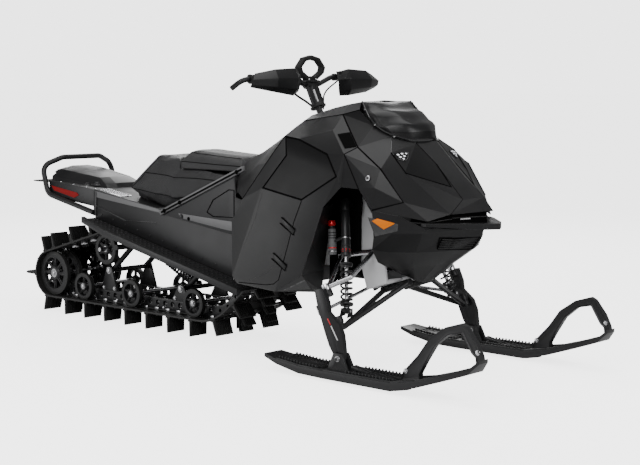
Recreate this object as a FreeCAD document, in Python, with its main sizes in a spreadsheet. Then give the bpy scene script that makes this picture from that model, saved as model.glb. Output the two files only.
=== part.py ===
import FreeCAD, Part
import math
import os
from types import SimpleNamespace
from FreeCAD import Placement, Rotation, Vector

# Snowmobile, millimetres.  +X forward, +Y the rider's left, +Z up, ground at Z = 0.
# Stations along X are drawn from a point a little behind the drive axle; every sub-part's
# Placement then moves the whole machine so that its frame's origin is at the middle of its length.

doc = FreeCAD.newDocument("snowmobile")
sheet = doc.addObject("Spreadsheet::Sheet", "Sizes")

SIZES = [
    ("middle_station", 93.5, "station that becomes X = 0 of the frame"),
    ("track_width", 406, "belt width"),
    ("belt_thick", 8, "belt carcass"),
    ("paddle_tall", 76, "paddle height outside the belt"),
    ("drive_x", 225, "drive axle"),
    ("drive_z", 443, "drive axle"),
    ("drive_round", 105, "belt's outer radius on the drive sprockets"),
    ("bend_x", -150, "start of the front bend of the ground run"),
    ("bend_round", 302, "belt's outer radius in the front bend"),
    ("rear_x", -1232, "rear axle"),
    ("rear_round", 120, "belt's outer radius on the rear wheels"),
    ("idler_x", -824, "upper idlers"),
    ("idler_z", 352, "upper idlers"),
    ("idler_round", 85, "belt's outer radius on the upper idlers"),
    ("wheel_wide", 24, "width of an idler or bogie wheel"),
    ("bogie_round", 67, "radius of a bogie wheel"),
    ("axle_thin", 10, "radius of the idler and bogie axles"),
    ("rail_half", 125, "rail centre from the middle"),
    ("rail_wide", 12, "rail thickness"),
    ("tunnel_gap", 13, "belt edge to the tunnel's outer face"),
    ("tunnel_wall", 3, "tunnel sheet"),
    ("tunnel_front", 430, "tunnel's front wall"),
    ("tunnel_rear", -850, "tunnel's rear end"),
    ("tail_end", -1220, "end of the tunnel's tail"),
    ("board_half", 340, "running board's outer edge from the middle"),
    ("board_thick", 6, "running board sheet"),
    ("hull_half", 386, "side panels at their widest, from the middle"),
    ("panel_wall", 4, "body panel thickness"),
    ("panel_seam", 0.8, "gap between neighbouring body panels"),
    ("tail_half", 205, "side of the tunnel's tail from the middle"),
    ("bumper_tube", 13, "rear bumper tube radius"),
    ("ski_half", 441, "ski centre from the middle"),
    ("ski_wide", 150, "ski width"),
    ("ski_bolt_x", 933, "bolt that carries the ski"),
    ("ski_bolt_z", 87, "bolt that carries the ski"),
    ("ski_bolt", 6, "bolt radius"),
    ("bolt_play", 0.08, "radial play at bolts and pins"),
    ("king_inset", 29, "steering axis inboard of the ski centre"),
    ("king_x", 905, "lower ball joint"),
    ("king_z", 207, "lower ball joint"),
    ("king_rake", 28.5, "lean of the steering axes, degrees"),
    ("king_pin", 8, "ball joint pin radius"),
    ("king_span", 166, "lower to upper ball joint"),
    ("steer_arm", 72, "steering arm length, at the spindle and at the column"),
    ("rod_tube", 7, "tie rod radius"),
    ("arm_tube", 11, "suspension arm tube radius"),
    ("column_x", 411, "steering column where it leaves the console"),
    ("column_z", 1047, "steering column where it leaves the console"),
    ("column_tube", 14, "steering column radius"),
    ("bar_tube", 11, "handlebar radius"),
    ("bar_half", 395, "handlebar end from the middle"),
    ("cast_half", 162, "bulkhead's outer face from the middle"),
    ("cast_wall", 12, "bulkhead plate"),
    ("engine_long", 250, "engine block"),
    ("engine_tall", 290, "engine block"),
]
for row, (alias, number, note) in enumerate(SIZES, start=1):
    sheet.set(f"A{row}", alias)
    sheet.set(f"B{row}", str(number))
    sheet.set(f"C{row}", note)
    sheet.setAlias(f"B{row}", alias)
doc.recompute()


class Term:
    """A size that carries its number and the sheet expression it comes from."""

    def __init__(self, text, number):
        self.text = text
        self.number = float(number)

    def __float__(self):
        return self.number

    def __add__(self, other):
        return Term(f"({self.text} + {text_of(other)})", self.number + float(other))

    def __radd__(self, other):
        return self + other

    def __sub__(self, other):
        return Term(f"({self.text} - {text_of(other)})", self.number - float(other))

    def __rsub__(self, other):
        return Term(f"({text_of(other)} - {self.text})", float(other) - self.number)

    def __mul__(self, other):
        return Term(f"({self.text} * {text_of(other)})", self.number * float(other))

    def __rmul__(self, other):
        return self * other

    def __truediv__(self, other):
        return Term(f"({self.text} / {text_of(other)})", self.number / float(other))

    def __neg__(self):
        return Term(f"(-{self.text})", -self.number)


def text_of(size):
    return size.text if isinstance(size, Term) else f"({float(size):.6g})"


def term(size):
    return size if isinstance(size, Term) else Term(text_of(size), size)


d = SimpleNamespace(**{alias: Term(f"Sizes.{alias}", sheet.get(alias)) for alias, _, _ in SIZES})

# ---------------------------------------------------------------- derived sizes

TUNNEL_HALF = d.track_width / 2 + d.tunnel_gap
REAR_Z = d.paddle_tall + d.rear_round
BEND_Z = d.paddle_tall + d.bend_round
KING_Y = d.ski_half - d.king_inset
RAKE = math.radians(float(d.king_rake))
KING_AXIS = Vector(-math.sin(RAKE), 0, math.cos(RAKE))
ARM_BACK = Vector(-math.cos(RAKE), 0, -math.sin(RAKE)) * float(d.steer_arm)
SEAT_GAP = 0.3
CLAMP_PLAY = 0.1
SIDES = (("left", 1), ("right", -1))

NODES = []


def vec(x, y, z):
    return Vector(float(x), float(y), float(z))


# ---------------------------------------------------------------- document helpers

def bind(thing, prop, size):
    size = term(size)
    thing.setExpression(prop, size.text)


def keep(thing, label, x=0, y=0, z=0):
    """Label a finished sub-part and give it its place in the frame."""
    thing.Label = label
    bind(thing, "Placement.Base.x", x - d.middle_station)
    bind(thing, "Placement.Base.y", y)
    bind(thing, "Placement.Base.z", z)
    NODES.append(thing)
    return thing


def feature(label, shape):
    """A sub-part whose shape comes from Part's own functions."""
    thing = doc.addObject("Part::Feature", label)
    thing.Shape = shape
    return keep(thing, label)


def plane_of(body, role):
    return next(item for item in body.Origin.OriginFeatures if item.Role == role)


def outline_sketch(body, name, outline):
    """A closed outline of straight edges in the body's XZ plane, every corner bound to the sheet."""
    sketch = body.newObject("Sketcher::SketchObject", name)
    sketch.AttachmentSupport = [(plane_of(body, "XZ_Plane"), "")]
    sketch.MapMode = "FlatFace"
    import Sketcher
    corners = [(term(x), term(z)) for x, z in outline]
    count = len(corners)
    for index, (x, z) in enumerate(corners):
        x_next, z_next = corners[(index + 1) % count]
        sketch.addGeometry(Part.LineSegment(vec(x, z, 0), vec(x_next, z_next, 0)), False)
    for index in range(count):
        sketch.addConstraint(Sketcher.Constraint("Coincident", index, 2, (index + 1) % count, 1))
    for index, (x, z) in enumerate(corners):
        for kind, size in (("DistanceX", x), ("DistanceY", z)):
            number = sketch.addConstraint(Sketcher.Constraint(kind, -1, 1, index, 1, float(size)))
            sketch.setExpression(f"Constraints[{number}]", size.text)
    return sketch


def slab(name, outline, width):
    """A body padded from an outline in the XZ plane, half its width to each side."""
    body = doc.addObject("PartDesign::Body", name)
    pad = body.newObject("PartDesign::Pad", name + "_pad")
    pad.Profile = outline_sketch(body, name + "_outline", outline)
    pad.Midplane = True
    bind(pad, "Length", width)
    return body


def hollow(body, name, outline, width):
    """Cut an outline out of a body, half its width to each side of the middle."""
    doc.recompute()
    pocket = body.newObject("PartDesign::Pocket", name + "_pocket")
    pocket.Profile = outline_sketch(body, name + "_cut", outline)
    pocket.Midplane = True
    bind(pocket, "Length", width)
    return body


def box(name, corner, long, wide, tall):
    block = doc.addObject("Part::Box", name)
    bind(block, "Length", long)
    bind(block, "Width", wide)
    bind(block, "Height", tall)
    for axis, size in zip("xyz", corner):
        bind(block, f"Placement.Base.{axis}", size)
    return block


def cross_cylinder(name, x, y, z, radius, length):
    """A cylinder along Y, centred on y."""
    part = doc.addObject("Part::Cylinder", name)
    bind(part, "Radius", radius)
    bind(part, "Height", length)
    part.Placement = Placement(Vector(), Rotation(Vector(1, 0, 0), 90))
    for axis, size in (("x", x), ("y", y + term(length) / 2), ("z", z)):
        bind(part, f"Placement.Base.{axis}", size)
    return part


def joined(label, parts):
    fusion = doc.addObject("Part::MultiFuse", label)
    fusion.Shapes = parts
    fusion.Refine = False
    return keep(fusion, label)


# ---------------------------------------------------------------- shape helpers

def facet_solid(triangles):
    """A closed solid from triangles, each three Vectors."""
    faces = [Part.Face(Part.makePolygon([a, b, c, a])) for a, b, c in triangles]
    shell = Part.makeShell(faces)
    shell.sewShape()
    solid = Part.makeSolid(shell)
    if solid.Volume < 0:
        solid.reverse()
    return solid


def panel(points, faces, wall, mirror=1):
    """A panel of flat facets: named points, faces as tuples of names, and a wall laid inside.

    Faces run anticlockwise seen from outside on the left side; mirror = -1 makes the right side.
    """
    outer = {name: vec(x, y * mirror, z) for name, (x, y, z) in points.items()}
    triangles = []
    for face in faces:
        for second, third in zip(face[1:-1], face[2:]):
            corner = (face[0], second, third)
            triangles.append(corner if mirror > 0 else corner[::-1])
    normals = {name: Vector() for name in outer}
    for a, b, c in triangles:
        normal = (outer[b] - outer[a]).cross(outer[c] - outer[a])
        for name in (a, b, c):
            normals[name] = normals[name] + normal
    inner = {name: outer[name] - normals[name].normalize() * float(wall) for name in outer}
    edges = {}
    for a, b, c in triangles:
        for edge in ((a, b), (b, c), (c, a)):
            edges[edge] = True
    rim = [edge for edge in edges if edge[::-1] not in edges]
    skin = [(outer[a], outer[b], outer[c]) for a, b, c in triangles]
    skin += [(inner[c], inner[b], inner[a]) for a, b, c in triangles]
    for a, b in rim:
        skin += [(outer[b], outer[a], inner[a]), (outer[b], inner[a], inner[b])]
    return facet_solid(skin)


def both_sides(points, faces):
    """Points and faces of the left half, with the right half mirrored from them."""
    full = dict(points)
    for name, (x, y, z) in points.items():
        if float(y) > 0:
            full[name + "_r"] = (x, -float(y), z)
    other = [tuple(name + "_r" if float(points[name][1]) > 0 else name for name in face)[::-1]
             for face in faces]
    return full, list(faces) + other


def grid(rows):
    """Points and faces of a net of rows, all with the same number of points."""
    points = {f"p{i}_{j}": point for i, row in enumerate(rows) for j, point in enumerate(row)}
    faces = []
    for i in range(len(rows) - 1):
        for j in range(len(rows[0]) - 1):
            faces.append((f"p{i}_{j}", f"p{i + 1}_{j}", f"p{i + 1}_{j + 1}", f"p{i}_{j + 1}"))
    return points, faces


def ring_solid(rings):
    """A solid through closed rings of points, flat facets between them and at both ends."""
    rings = [[vec(*point) for point in ring] for ring in rings]
    count = len(rings[0])
    triangles = []
    for low, high in zip(rings, rings[1:]):
        for i in range(count):
            j = (i + 1) % count
            triangles += [(low[i], low[j], high[j]), (low[i], high[j], high[i])]
    for ring, turn in ((rings[0], -1), (rings[-1], 1)):
        middle = sum(ring, Vector()) * (1 / count)
        for i in range(count):
            corner = (middle, ring[i], ring[(i + 1) % count])
            triangles.append(corner[::turn])
    return facet_solid(triangles)


def mirrored_ring(half):
    """A closed ring from its left half, whose points run from one end to the other."""
    return list(half) + [(x, -float(y), z) for x, y, z in reversed(half)]


def rod(start, end, radius):
    run = end - start
    return Part.makeCylinder(float(radius), run.Length, start, run)


def eye(centre, axis, radius, bore, length):
    """A ring of the given length, centred on a point."""
    axis = Vector(axis).normalize()
    start = centre - axis * (length / 2)
    ring = Part.makeCylinder(float(radius), length, start, axis)
    if bore:
        ring = ring.cut(Part.makeCylinder(float(bore), length + 2, start - axis, axis))
    return ring


def fused(shapes):
    whole = shapes[0].multiFuse(shapes[1:])
    return whole.Solids[0] if len(whole.Solids) == 1 else whole


def bent_path(points, bend=0.45, fixed=None, report=None):
    """Straight runs joined by tangent arcs through the corners of a route."""
    edges = []
    radii = []
    start = points[0]
    for before, corner, after in zip(points, points[1:], points[2:]):
        back = before - corner
        ahead = after - corner
        turn = math.pi - back.getAngle(ahead)
        radius = bend * min(back.Length, ahead.Length) / math.tan(turn / 2)
        if fixed:
            radius = min(radius, fixed)
        radii.append(radius)
        reach = radius * math.tan(turn / 2)
        back.normalize()
        ahead.normalize()
        first = corner + back * reach
        last = corner + ahead * reach
        inward = (back + ahead).normalize()
        middle = corner + inward * (radius / math.cos(turn / 2) - radius)
        edges.append(Part.LineSegment(start, first).toShape())
        edges.append(Part.Arc(first, middle, last).toShape())
        start = last
    edges.append(Part.LineSegment(start, points[-1]).toShape())
    if report:
        print(report, "radii", [round(radius, 1) for radius in radii])
    return Part.Wire(edges)


def tube(points, radius, fixed=None, report=None):
    """A round bar or cable along a bent path."""
    path = bent_path(points, fixed=fixed, report=report)
    ring = Part.Wire(Part.makeCircle(float(radius), points[0], points[1] - points[0]))
    return path.makePipeShell([ring], True, True)


def flipped(shape):
    return shape.mirror(Vector(), Vector(0, 1, 0))


def pair(label, shape):
    """One node with a piece on the left and its mirror image on the right."""
    return feature(label, Part.makeCompound([shape, flipped(shape)]))


# ---------------------------------------------------------------- track and its suspension

def belt_wire(grow):
    """The closed line round drive, front bend, rear axle and upper idlers, outside the belt by grow."""
    wheels = [(d.drive_x, d.drive_z, d.drive_round), (d.bend_x, BEND_Z, d.bend_round),
              (d.rear_x, REAR_Z, d.rear_round), (d.idler_x, d.idler_z, d.idler_round)]
    wheels = [(vec(x, 0, z), float(r) + grow) for x, z, r in wheels]
    leave, arrive = {}, {}
    count = len(wheels)
    for i in range(count):
        j = (i + 1) % count
        (here, r_here), (there, r_there) = wheels[i], wheels[j]
        run = there - here
        lean = math.acos((r_here - r_there) / run.Length)
        along = math.atan2(run.z, run.x)
        side = Vector(math.cos(along + lean), 0, math.sin(along + lean))
        leave[i] = here + side * r_here
        arrive[j] = there + side * r_there
    edges = []
    for i, (centre, radius) in enumerate(wheels):
        inward = (arrive[i] + leave[i]) * 0.5 - centre
        middle = centre + inward.normalize() * radius
        edges.append(Part.Arc(arrive[i], middle, leave[i]).toShape())
        edges.append(Part.LineSegment(leave[i], arrive[(i + 1) % count]).toShape())
    return Part.Wire(edges)


def make_track():
    outer = Part.Face(belt_wire(float(d.paddle_tall)))
    inner = Part.Face(belt_wire(-float(d.belt_thick)))
    ring = outer.cut(inner)
    ring.translate(vec(0, -d.track_width / 2, 0))
    loop = ring.extrude(vec(0, d.track_width, 0))
    print("track perimeter", round(belt_wire(0).Length, 1))
    feature("track", loop)


BELT_INSIDE = float(d.paddle_tall + d.belt_thick) + SEAT_GAP
WHEEL_AXLE_Z = BELT_INSIDE + float(d.bogie_round)
RAIL_FLAT = WHEEL_AXLE_Z - float(d.axle_thin) - SEAT_GAP
RAIL_TOP = [(-1262, 185.7), (-1190, 185.7), (-1150, RAIL_FLAT), (-150, RAIL_FLAT), (-60, 152), (20, 200)]
RAIL_LOW = [(45, 178), (-20, 119), (-90, 94), (-160, BELT_INSIDE), (-1228, BELT_INSIDE)]


def rail_height(x):
    """Top of the rails at a station."""
    for (x0, z0), (x1, z1) in zip(RAIL_TOP, RAIL_TOP[1:]):
        if x0 <= x <= x1:
            return z0 + (z1 - z0) * (x - x0) / (x1 - x0)
    return RAIL_TOP[0][1]


def make_rails():
    for name, side in SIDES:
        body = slab(f"rail_{name}", RAIL_TOP + RAIL_LOW, d.rail_wide)
        keep(body, f"rail_{name}", y=side * d.rail_half)


def make_drive():
    """Drive axle with its two toothed sprockets, and the bearings' ends at the tunnel walls."""
    inside = 2 * (TUNNEL_HALF - d.tunnel_wall - SEAT_GAP)
    parts = [cross_cylinder("drive_shaft", d.drive_x, 0, d.drive_z, 14, inside)]
    for name, side in SIDES:
        parts.append(cross_cylinder(f"sprocket_{name}", d.drive_x, side * 90, d.drive_z,
                                    d.drive_round - d.belt_thick - SEAT_GAP, 46))
    joined("drive_axle", parts)


def make_wheels():
    """Rear wheels, upper idlers and bogie wheels, each row on its own axle."""
    touch = d.belt_thick + SEAT_GAP
    parts = []

    def row(name, x, z, radius, places, half):
        parts.append(cross_cylinder(name + "_axle", x, 0, z, d.axle_thin, 2 * half))
        for number, y in enumerate(places):
            parts.append(cross_cylinder(f"{name}_{number}", x, y, z, radius, d.wheel_wide))

    row("rear", d.rear_x, REAR_Z, d.rear_round - touch, (-165, -90, 90, 165), term(180))
    row("upper", d.idler_x, d.idler_z, d.idler_round - touch, (-165, 165),
        TUNNEL_HALF - d.tunnel_wall - SEAT_GAP)
    for number, x in enumerate((-1000, -640, -205)):
        row(f"bogie{number}", x, d.paddle_tall + touch + d.bogie_round, d.bogie_round, (-165, 165), term(178))
    joined("track_wheels", parts)


CROSS_ROUND = 9.0
CROSS_TUBE = Vector(15, 0, 208)


def make_suspension_arms():
    """The two arms that hang the rails from the tunnel, on cross tubes."""
    half = float(TUNNEL_HALF - d.tunnel_wall) - SEAT_GAP
    foot = float(d.rail_half) - float(d.rail_wide) / 2 - SEAT_GAP
    shapes = []
    for top, low, spread in ((Vector(-700, 0, 372), Vector(-853, 0, 240), 120),
                             (Vector(-120, 0, 372), Vector(-335, 0, 200), 95)):
        shapes.append(Part.makeCylinder(13, 2 * half, top - Vector(0, half, 0), Vector(0, 1, 0)))
        shapes.append(Part.makeCylinder(11, 2 * foot, low - Vector(0, foot, 0), Vector(0, 1, 0)))
        for side in (1, -1):
            reach = Vector(0, side * min(spread, foot - 14), 0)
            shapes.append(rod(top + reach, low + reach, 13))
    rear = fused(shapes[:4])
    front = fused(shapes[4:])
    cross = Part.makeCylinder(CROSS_ROUND, 2 * foot + 24, CROSS_TUBE - Vector(0, foot + 12, 0), Vector(0, 1, 0))
    feature("suspension_arms", Part.makeCompound([rear, front, cross]))


def make_suspension_brackets():
    """Brackets that stand on the rails and take the arms' lower cross tubes."""
    plates = []
    for x, z in ((-853, 240), (-335, 200)):
        top = rail_height(x) + SEAT_GAP
        outline = [Vector(x - 60, 0, top), Vector(x + 60, 0, top), Vector(x + 18, 0, z + 18),
                   Vector(x - 18, 0, z + 18)]
        face = Part.Face(Part.makePolygon(outline + outline[:1]))
        plate = face.extrude(vec(0, d.rail_wide, 0))
        for side in (1, -1):
            copy = plate.copy()
            copy.translate(vec(0, side * d.rail_half - d.rail_wide / 2, 0))
            plates.append(copy)
    feature("rail_brackets", Part.makeCompound(plates))


def shock(top, low, body, spring, split):
    """Damper body, shaft, spring round the shaft and an eye at each end, in the XZ direction."""
    line = low - top
    middle = top + line * split
    end = top + line * 0.93
    parts = [eye(top, Vector(0, 1, 0), 14, 0, 34), eye(low, Vector(0, 1, 0), 14, 0, 34),
             rod(top, middle, body), rod(middle, low, 8), rod(middle, end, spring)]
    return fused(parts)


def make_rear_shocks():
    """The two dampers of the track suspension, on the middle line, between the arms' cross tubes."""

    def between(start, start_round, end, end_round):
        along = (end - start).normalize()
        return start + along * (start_round + 14 + SEAT_GAP), end - along * (end_round + 14 + SEAT_GAP)

    rear = shock(*between(Vector(-700, 0, 372), 13, Vector(-335, 0, 200), 11), 20, 30, 0.4)
    front = shock(*between(Vector(-120, 0, 372), 13, CROSS_TUBE, CROSS_ROUND), 16, 24, 0.4)
    feature("rear_shocks", Part.makeCompound([rear, front]))


# ---------------------------------------------------------------- chassis

def board_line(x):
    """Height of the tunnel's lower edge at a station."""
    return 300 - (x - 80) * (469 - 300) / (707 + 80)


def make_tunnel():
    rear_low = board_line(float(d.tunnel_rear))
    top = [(d.tunnel_rear, 640), (-400, 580), (0, 622), (250, 660), (d.tunnel_front, 640)]
    outline = top + [(d.tunnel_front, 300), (80, 300), (d.tunnel_rear, rear_low)]
    body = slab("tunnel", outline, 2 * TUNNEL_HALF)
    wall = d.tunnel_wall
    cut = [(d.tunnel_rear - 20, 640 - wall + 3), (-400, 580 - wall), (0, 622 - wall), (250, 660 - wall),
           (d.tunnel_front - wall, 640 - wall), (d.tunnel_front - wall, 280), (80, 280),
           (d.tunnel_rear - 20, 440)]
    hollow(body, "tunnel", cut, 2 * (TUNNEL_HALF - wall))
    keep(body, "tunnel")


def make_tail():
    """The tunnel's narrower tail, open below, behind the tunnel's rear end."""
    front = d.tunnel_rear - SEAT_GAP
    outline = [(front, 640), (front, 556), (d.tail_end, 590), (d.tail_end, 668)]
    body = slab("tail", outline, 2 * d.tail_half)
    cut = [(front + 10, 637), (front + 10, 530), (d.tail_end - 10, 560), (d.tail_end - 10, 666)]
    hollow(body, "tail", cut, 2 * (d.tail_half - d.tunnel_wall))
    keep(body, "tunnel_tail")


def make_boards():
    """Running boards: a sheet from the tunnel to a square edge rail, sloping up to the rear."""
    shapes = []
    rear, front = -850.0, 250.0
    inner = float(TUNNEL_HALF) + SEAT_GAP
    outer = float(d.board_half)
    thick = float(d.board_thick)
    taper = 40.0

    def strip(y0, y1, low, high):
        rings = []
        for x, pull in ((rear, taper), (rear + 200, 0.0), (front, 0.0)):
            z = board_line(x)
            a, b = y0 - (pull if y0 > inner + 1 else 0), y1 - pull
            rings.append([(x, a, z + low), (x, b, z + low), (x, b, z + high), (x, a, z + high)])
        return ring_solid(rings)

    shapes.append(strip(inner, outer - 20, 0, thick))
    shapes.append(strip(outer - 20, outer, -12, 16))
    pair("running_boards", fused(shapes))


def make_braces():
    """Diagonal braces with the plates they carry, from the tunnel up to the tank cover."""
    y = float(TUNNEL_HALF) + SEAT_GAP
    plate = [Vector(-345, y, 552), Vector(45, y, 500), Vector(225, y, 480), Vector(225, y, 636),
             Vector(122, y, 660), Vector(118, y, 752)]
    web = Part.Face(Part.makePolygon(plate + plate[:1])).extrude(Vector(0, 3, 0))
    low, high = Vector(-366, y, 560), Vector(178, y, 789)
    along = (high - low).normalize()
    across = Vector(-along.z, 0, along.x)
    bar = [low - across * 11, high - across * 11, high + across * 11, low + across * 11]
    strut = Part.Face(Part.makePolygon(bar + bar[:1])).extrude(Vector(0, 14, 0))
    pair("braces", fused([web, strut]))


def make_bulkhead():
    """Cast front frame: two side plates on a sloping floor with a narrow nose."""
    back = d.tunnel_front + SEAT_GAP
    outline = [(826, 318), (930, 353.3), (918, 440), (900, 560), (800, 700), (720, 700), (690, 490),
               (back, 490), (back, 400), (800, 400)]
    body = slab("bulkhead", outline, 2 * d.cast_half)
    cut = [(838, 338), (940, 372), (1100, 470), (1100, 800), (back - 20, 800), (back - 20, 380), (838, 380)]
    hollow(body, "bulkhead", cut, 2 * (d.cast_half - d.cast_wall))
    doc.recompute()
    nose = body.newObject("PartDesign::Pad", "bulkhead_nose_pad")
    nose.Profile = outline_sketch(body, "bulkhead_nose", [(900, 343.1), (985, 372), (985, 384), (900, 360)])
    nose.Midplane = True
    bind(nose, "Length", term(116))
    keep(body, "bulkhead")


def make_engine():
    wide = 2 * (d.cast_half - d.cast_wall - SEAT_GAP)
    keep(box("engine_block", (0, 0, 0), d.engine_long, wide, d.engine_tall), "engine", 795, -wide / 2, 450)


# ---------------------------------------------------------------- body panels

# The bodywork is one net of points on the left half, drawn for side panels 386 from the middle.
# Neighbouring panels share the points of their seam; each panel is then drawn back by half a seam.

HEART = Vector(600, 0, 600)
FOOT_IN = float(TUNNEL_HALF) + SEAT_GAP

NET = {
    # seat end of the tank cover, and its stations towards the console
    "tank_a0": (85, 0, 826), "tank_a1": (85, 105, 818), "tank_a2": (85, 165, 745), "tank_a3": (85, 185, 668),
    "tank_b0": (200, 0, 868), "tank_b1": (200, 125, 858), "tank_b2": (200, 222, 765), "tank_b3": (200, 285, 692),
    "tank_c0": (306, 0, 915), "tank_c1": (306, 150, 905), "tank_c2": (306, 262, 812),
    "tank_d0": (428, 0, 985), "tank_d1": (428, 160, 975), "tank_d2": (428, 272, 905),
    "tank_d3": (428, 343, 826),
    # console
    "deck_a0": (508, 0, 1032), "deck_a1": (510, 152, 1024), "deck_rear": (514, 205, 1001),
    "deck_b0": (640, 0, 1066), "deck_b1": (640, 152, 1057), "deck_b2": (640, 198, 1019),
    "deck_c0": (722, 0, 1084), "deck_c1": (722, 154, 1073), "seam_a": (720, 195, 1031),
    "deck_d0": (779, 0, 1088), "deck_d1": (779, 152, 1082), "deck_front": (790, 174, 1050),
    # side panel
    "top_rear": (519, 325, 942), "inset_top": (600, 325, 932), "inset_front_top": (765, 337, 877),
    "shoulder": (738, 277, 968), "cheek_top": (846, 331, 878), "inset_front": (838, 362, 789),
    "arch_rear": (848, 352, 748), "cheek_low": (928, 338, 744), "crease": (538, 342, 863),
    "inset_rear": (432, 375, 723), "inset_low": (662, 380, 685), "arch_mid": (768, 367, 665),
    "rear_high": (307, 362, 672), "rear_mid": (232, 352, 571), "rear_low": (263, 380, 342),
    "corner_low": (297, 383, 314), "bottom": (520, 386, 302), "bottom_front": (716, 374, 330),
    "well_low": (660, 377, 381), "well_mid": (713, 372, 517), "panel_mid": (627, 386, 600),
    "panel_low": (551, 386, 381), "seam_b": (794, 233, 964), "seam_c": (861, 266, 904),
    # footwell, from the side panel's edges in to the tunnel
    "well_in_a": (688, FOOT_IN, 665), "well_in_b": (664, FOOT_IN, 517), "well_in_c": (640, FOOT_IN, 388),
    "well_in_d": (630, FOOT_IN, 292), "well_in_e": (262, FOOT_IN, 292),
    # hood
    "screen_low": (1046, 0, 930), "screen_side": (1003, 74, 922), "screen_mid": (926, 133, 946),
    "screen_high": (858, 166, 988), "seam_d": (1000, 290, 824), "seam_e": (1101, 272, 698),
    "brow": (985, 208, 884), "lamp_low": (1055, 200, 806), "lamp_inner": (1185, 75, 752),
    "ridge": (1190, 0, 792), "ridge_side": (1100, 62, 838), "nose_ridge": (1290, 0, 715),
    "nose_side": (1238, 72, 706), "nose": (1334, 0, 664), "lip": (1220, 125, 649),
    "wing": (1175, 212, 624), "wing_mid": (1075, 276, 645), "wing_rear": (988, 328, 664),
    # shroud behind the hood's wing
    "shroud_fold": (995, 320, 752),
    # belly pan
    "belly_a0": (1292, 0, 590), "belly_a1": (1235, 95, 590), "belly_a2": (1150, 214, 600),
    "belly_b0": (1285, 0, 566), "belly_b1": (1215, 95, 560), "belly_b2": (1150, 212, 574),
    "belly_b3": (1060, 290, 575), "belly_b4": (998, 328, 556),
    "belly_c0": (1222, 0, 497), "belly_c1": (1185, 98, 500), "belly_c2": (1100, 190, 495),
    "belly_c3": (1010, 250, 494), "belly_c4": (955, 285, 502),
    "belly_d0": (1130, 0, 436), "belly_d1": (1105, 62, 434), "belly_d2": (1040, 130, 428),
    "belly_d3": (965, 180, 434), "belly_d4": (925, 212, 442),
    "belly_e0": (1018, 0, 352), "belly_e1": (1012, 36, 352), "belly_e2": (1000, 60, 360),
    "belly_e3": (975, 85, 378), "belly_e4": (950, 100, 388),
}


def strips(*rows):
    """Faces of a net between rows of point names of equal length."""
    faces = []
    for low, high in zip(rows, rows[1:]):
        for i in range(len(low) - 1):
            faces.append((low[i], low[i + 1], high[i + 1], high[i]))
    return faces


def row(prefix, count, last=None):
    names = [f"{prefix}{i}" for i in range(count)]
    return names + [last] if last else names


BELLY_TOP = ["belly_a0", "belly_a1", "belly_a2", "wing_mid", "wing_rear"]

PANELS = {
    "hood": [
        ("screen_low", "screen_side", "ridge_side", "ridge"),
        ("screen_side", "screen_mid", "brow", "lamp_low", "lamp_inner", "ridge_side"),
        ("screen_mid", "screen_high", "seam_c", "brow"),
        ("screen_high", "deck_front", "seam_a", "seam_b", "seam_c"),
        ("brow", "seam_c", "seam_d", "lamp_low"),
        ("ridge", "ridge_side", "lamp_inner", "nose_side", "nose_ridge"),
        ("lamp_low", "seam_d", "seam_e", "lip", "nose_side", "lamp_inner"),
        ("nose_ridge", "nose_side", "lip", "nose"),
        ("seam_e", "wing_rear", "wing_mid"),
        ("seam_e", "wing_mid", "wing", "lip"),
    ],
    "console": strips(row("deck_a", 2, "deck_rear"), row("deck_b", 3), row("deck_c", 2, "seam_a"),
                      row("deck_d", 2, "deck_front")),
    "tank_cover": strips(row("tank_a", 4), row("tank_b", 4), row("tank_c", 3, "rear_high"),
                         row("tank_d", 4), row("deck_a", 2, "deck_rear") + ["top_rear"]),
    "side_panel": [
        ("deck_rear", "deck_b2", "seam_a", "shoulder", "inset_top", "top_rear"),
        ("seam_a", "seam_b", "shoulder"),
        ("shoulder", "seam_b", "seam_c", "cheek_top"),
        ("shoulder", "cheek_top", "inset_front_top", "inset_top"),
        ("top_rear", "inset_top", "inset_front_top", "crease"),
        ("crease", "inset_front_top", "inset_front", "inset_low", "inset_rear"),
        ("cheek_top", "cheek_low", "arch_rear", "inset_front", "inset_front_top"),
        ("tank_d3", "top_rear", "crease", "inset_rear", "rear_high"),
        ("inset_front", "arch_rear", "arch_mid", "inset_low"),
        ("rear_high", "inset_rear", "rear_mid"),
        ("inset_rear", "rear_low", "rear_mid"),
        ("inset_rear", "inset_low", "panel_mid", "panel_low", "rear_low"),
        ("rear_low", "panel_low", "bottom", "corner_low"),
        ("inset_low", "arch_mid", "well_mid", "panel_mid"),
        ("panel_mid", "well_mid", "well_low", "panel_low"),
        ("panel_low", "well_low", "bottom"),
    ],
    "shrouds": [
        ("cheek_top", "shroud_fold", "seam_d", "seam_c"), ("seam_d", "shroud_fold", "seam_e"),
        ("shroud_fold", "wing_rear", "seam_e"), ("shroud_fold", "cheek_low", "wing_rear"),
        ("cheek_top", "cheek_low", "shroud_fold"),
    ],
    "footwells": strips(["arch_mid", "well_mid", "well_low", "bottom", "corner_low"],
                        ["well_in_a", "well_in_b", "well_in_c", "well_in_d", "well_in_e"])
                 + [("well_low", "bottom_front", "bottom")],
    "belly_pan": strips(BELLY_TOP, row("belly_b", 5), row("belly_c", 5), row("belly_d", 5),
                        row("belly_e", 5)),
}


def hull(y):
    """Distance from the middle of a point of the bodywork, by the side panels' real width."""
    return y * float(d.hull_half) / 386


def net_point(name):
    base, _, right = name.partition("|")
    x, y, z = NET[base]
    y = y if base.startswith("well_in") else hull(y)
    return Vector(x, -y if right else y, z)


def outwardness(names):
    """Positive where the corners turn anticlockwise seen from outside."""
    a, b, c = (net_point(name) for name in names)
    return (b - a).cross(c - a).dot((a + b + c) * (1 / 3) - HEART)


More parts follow.
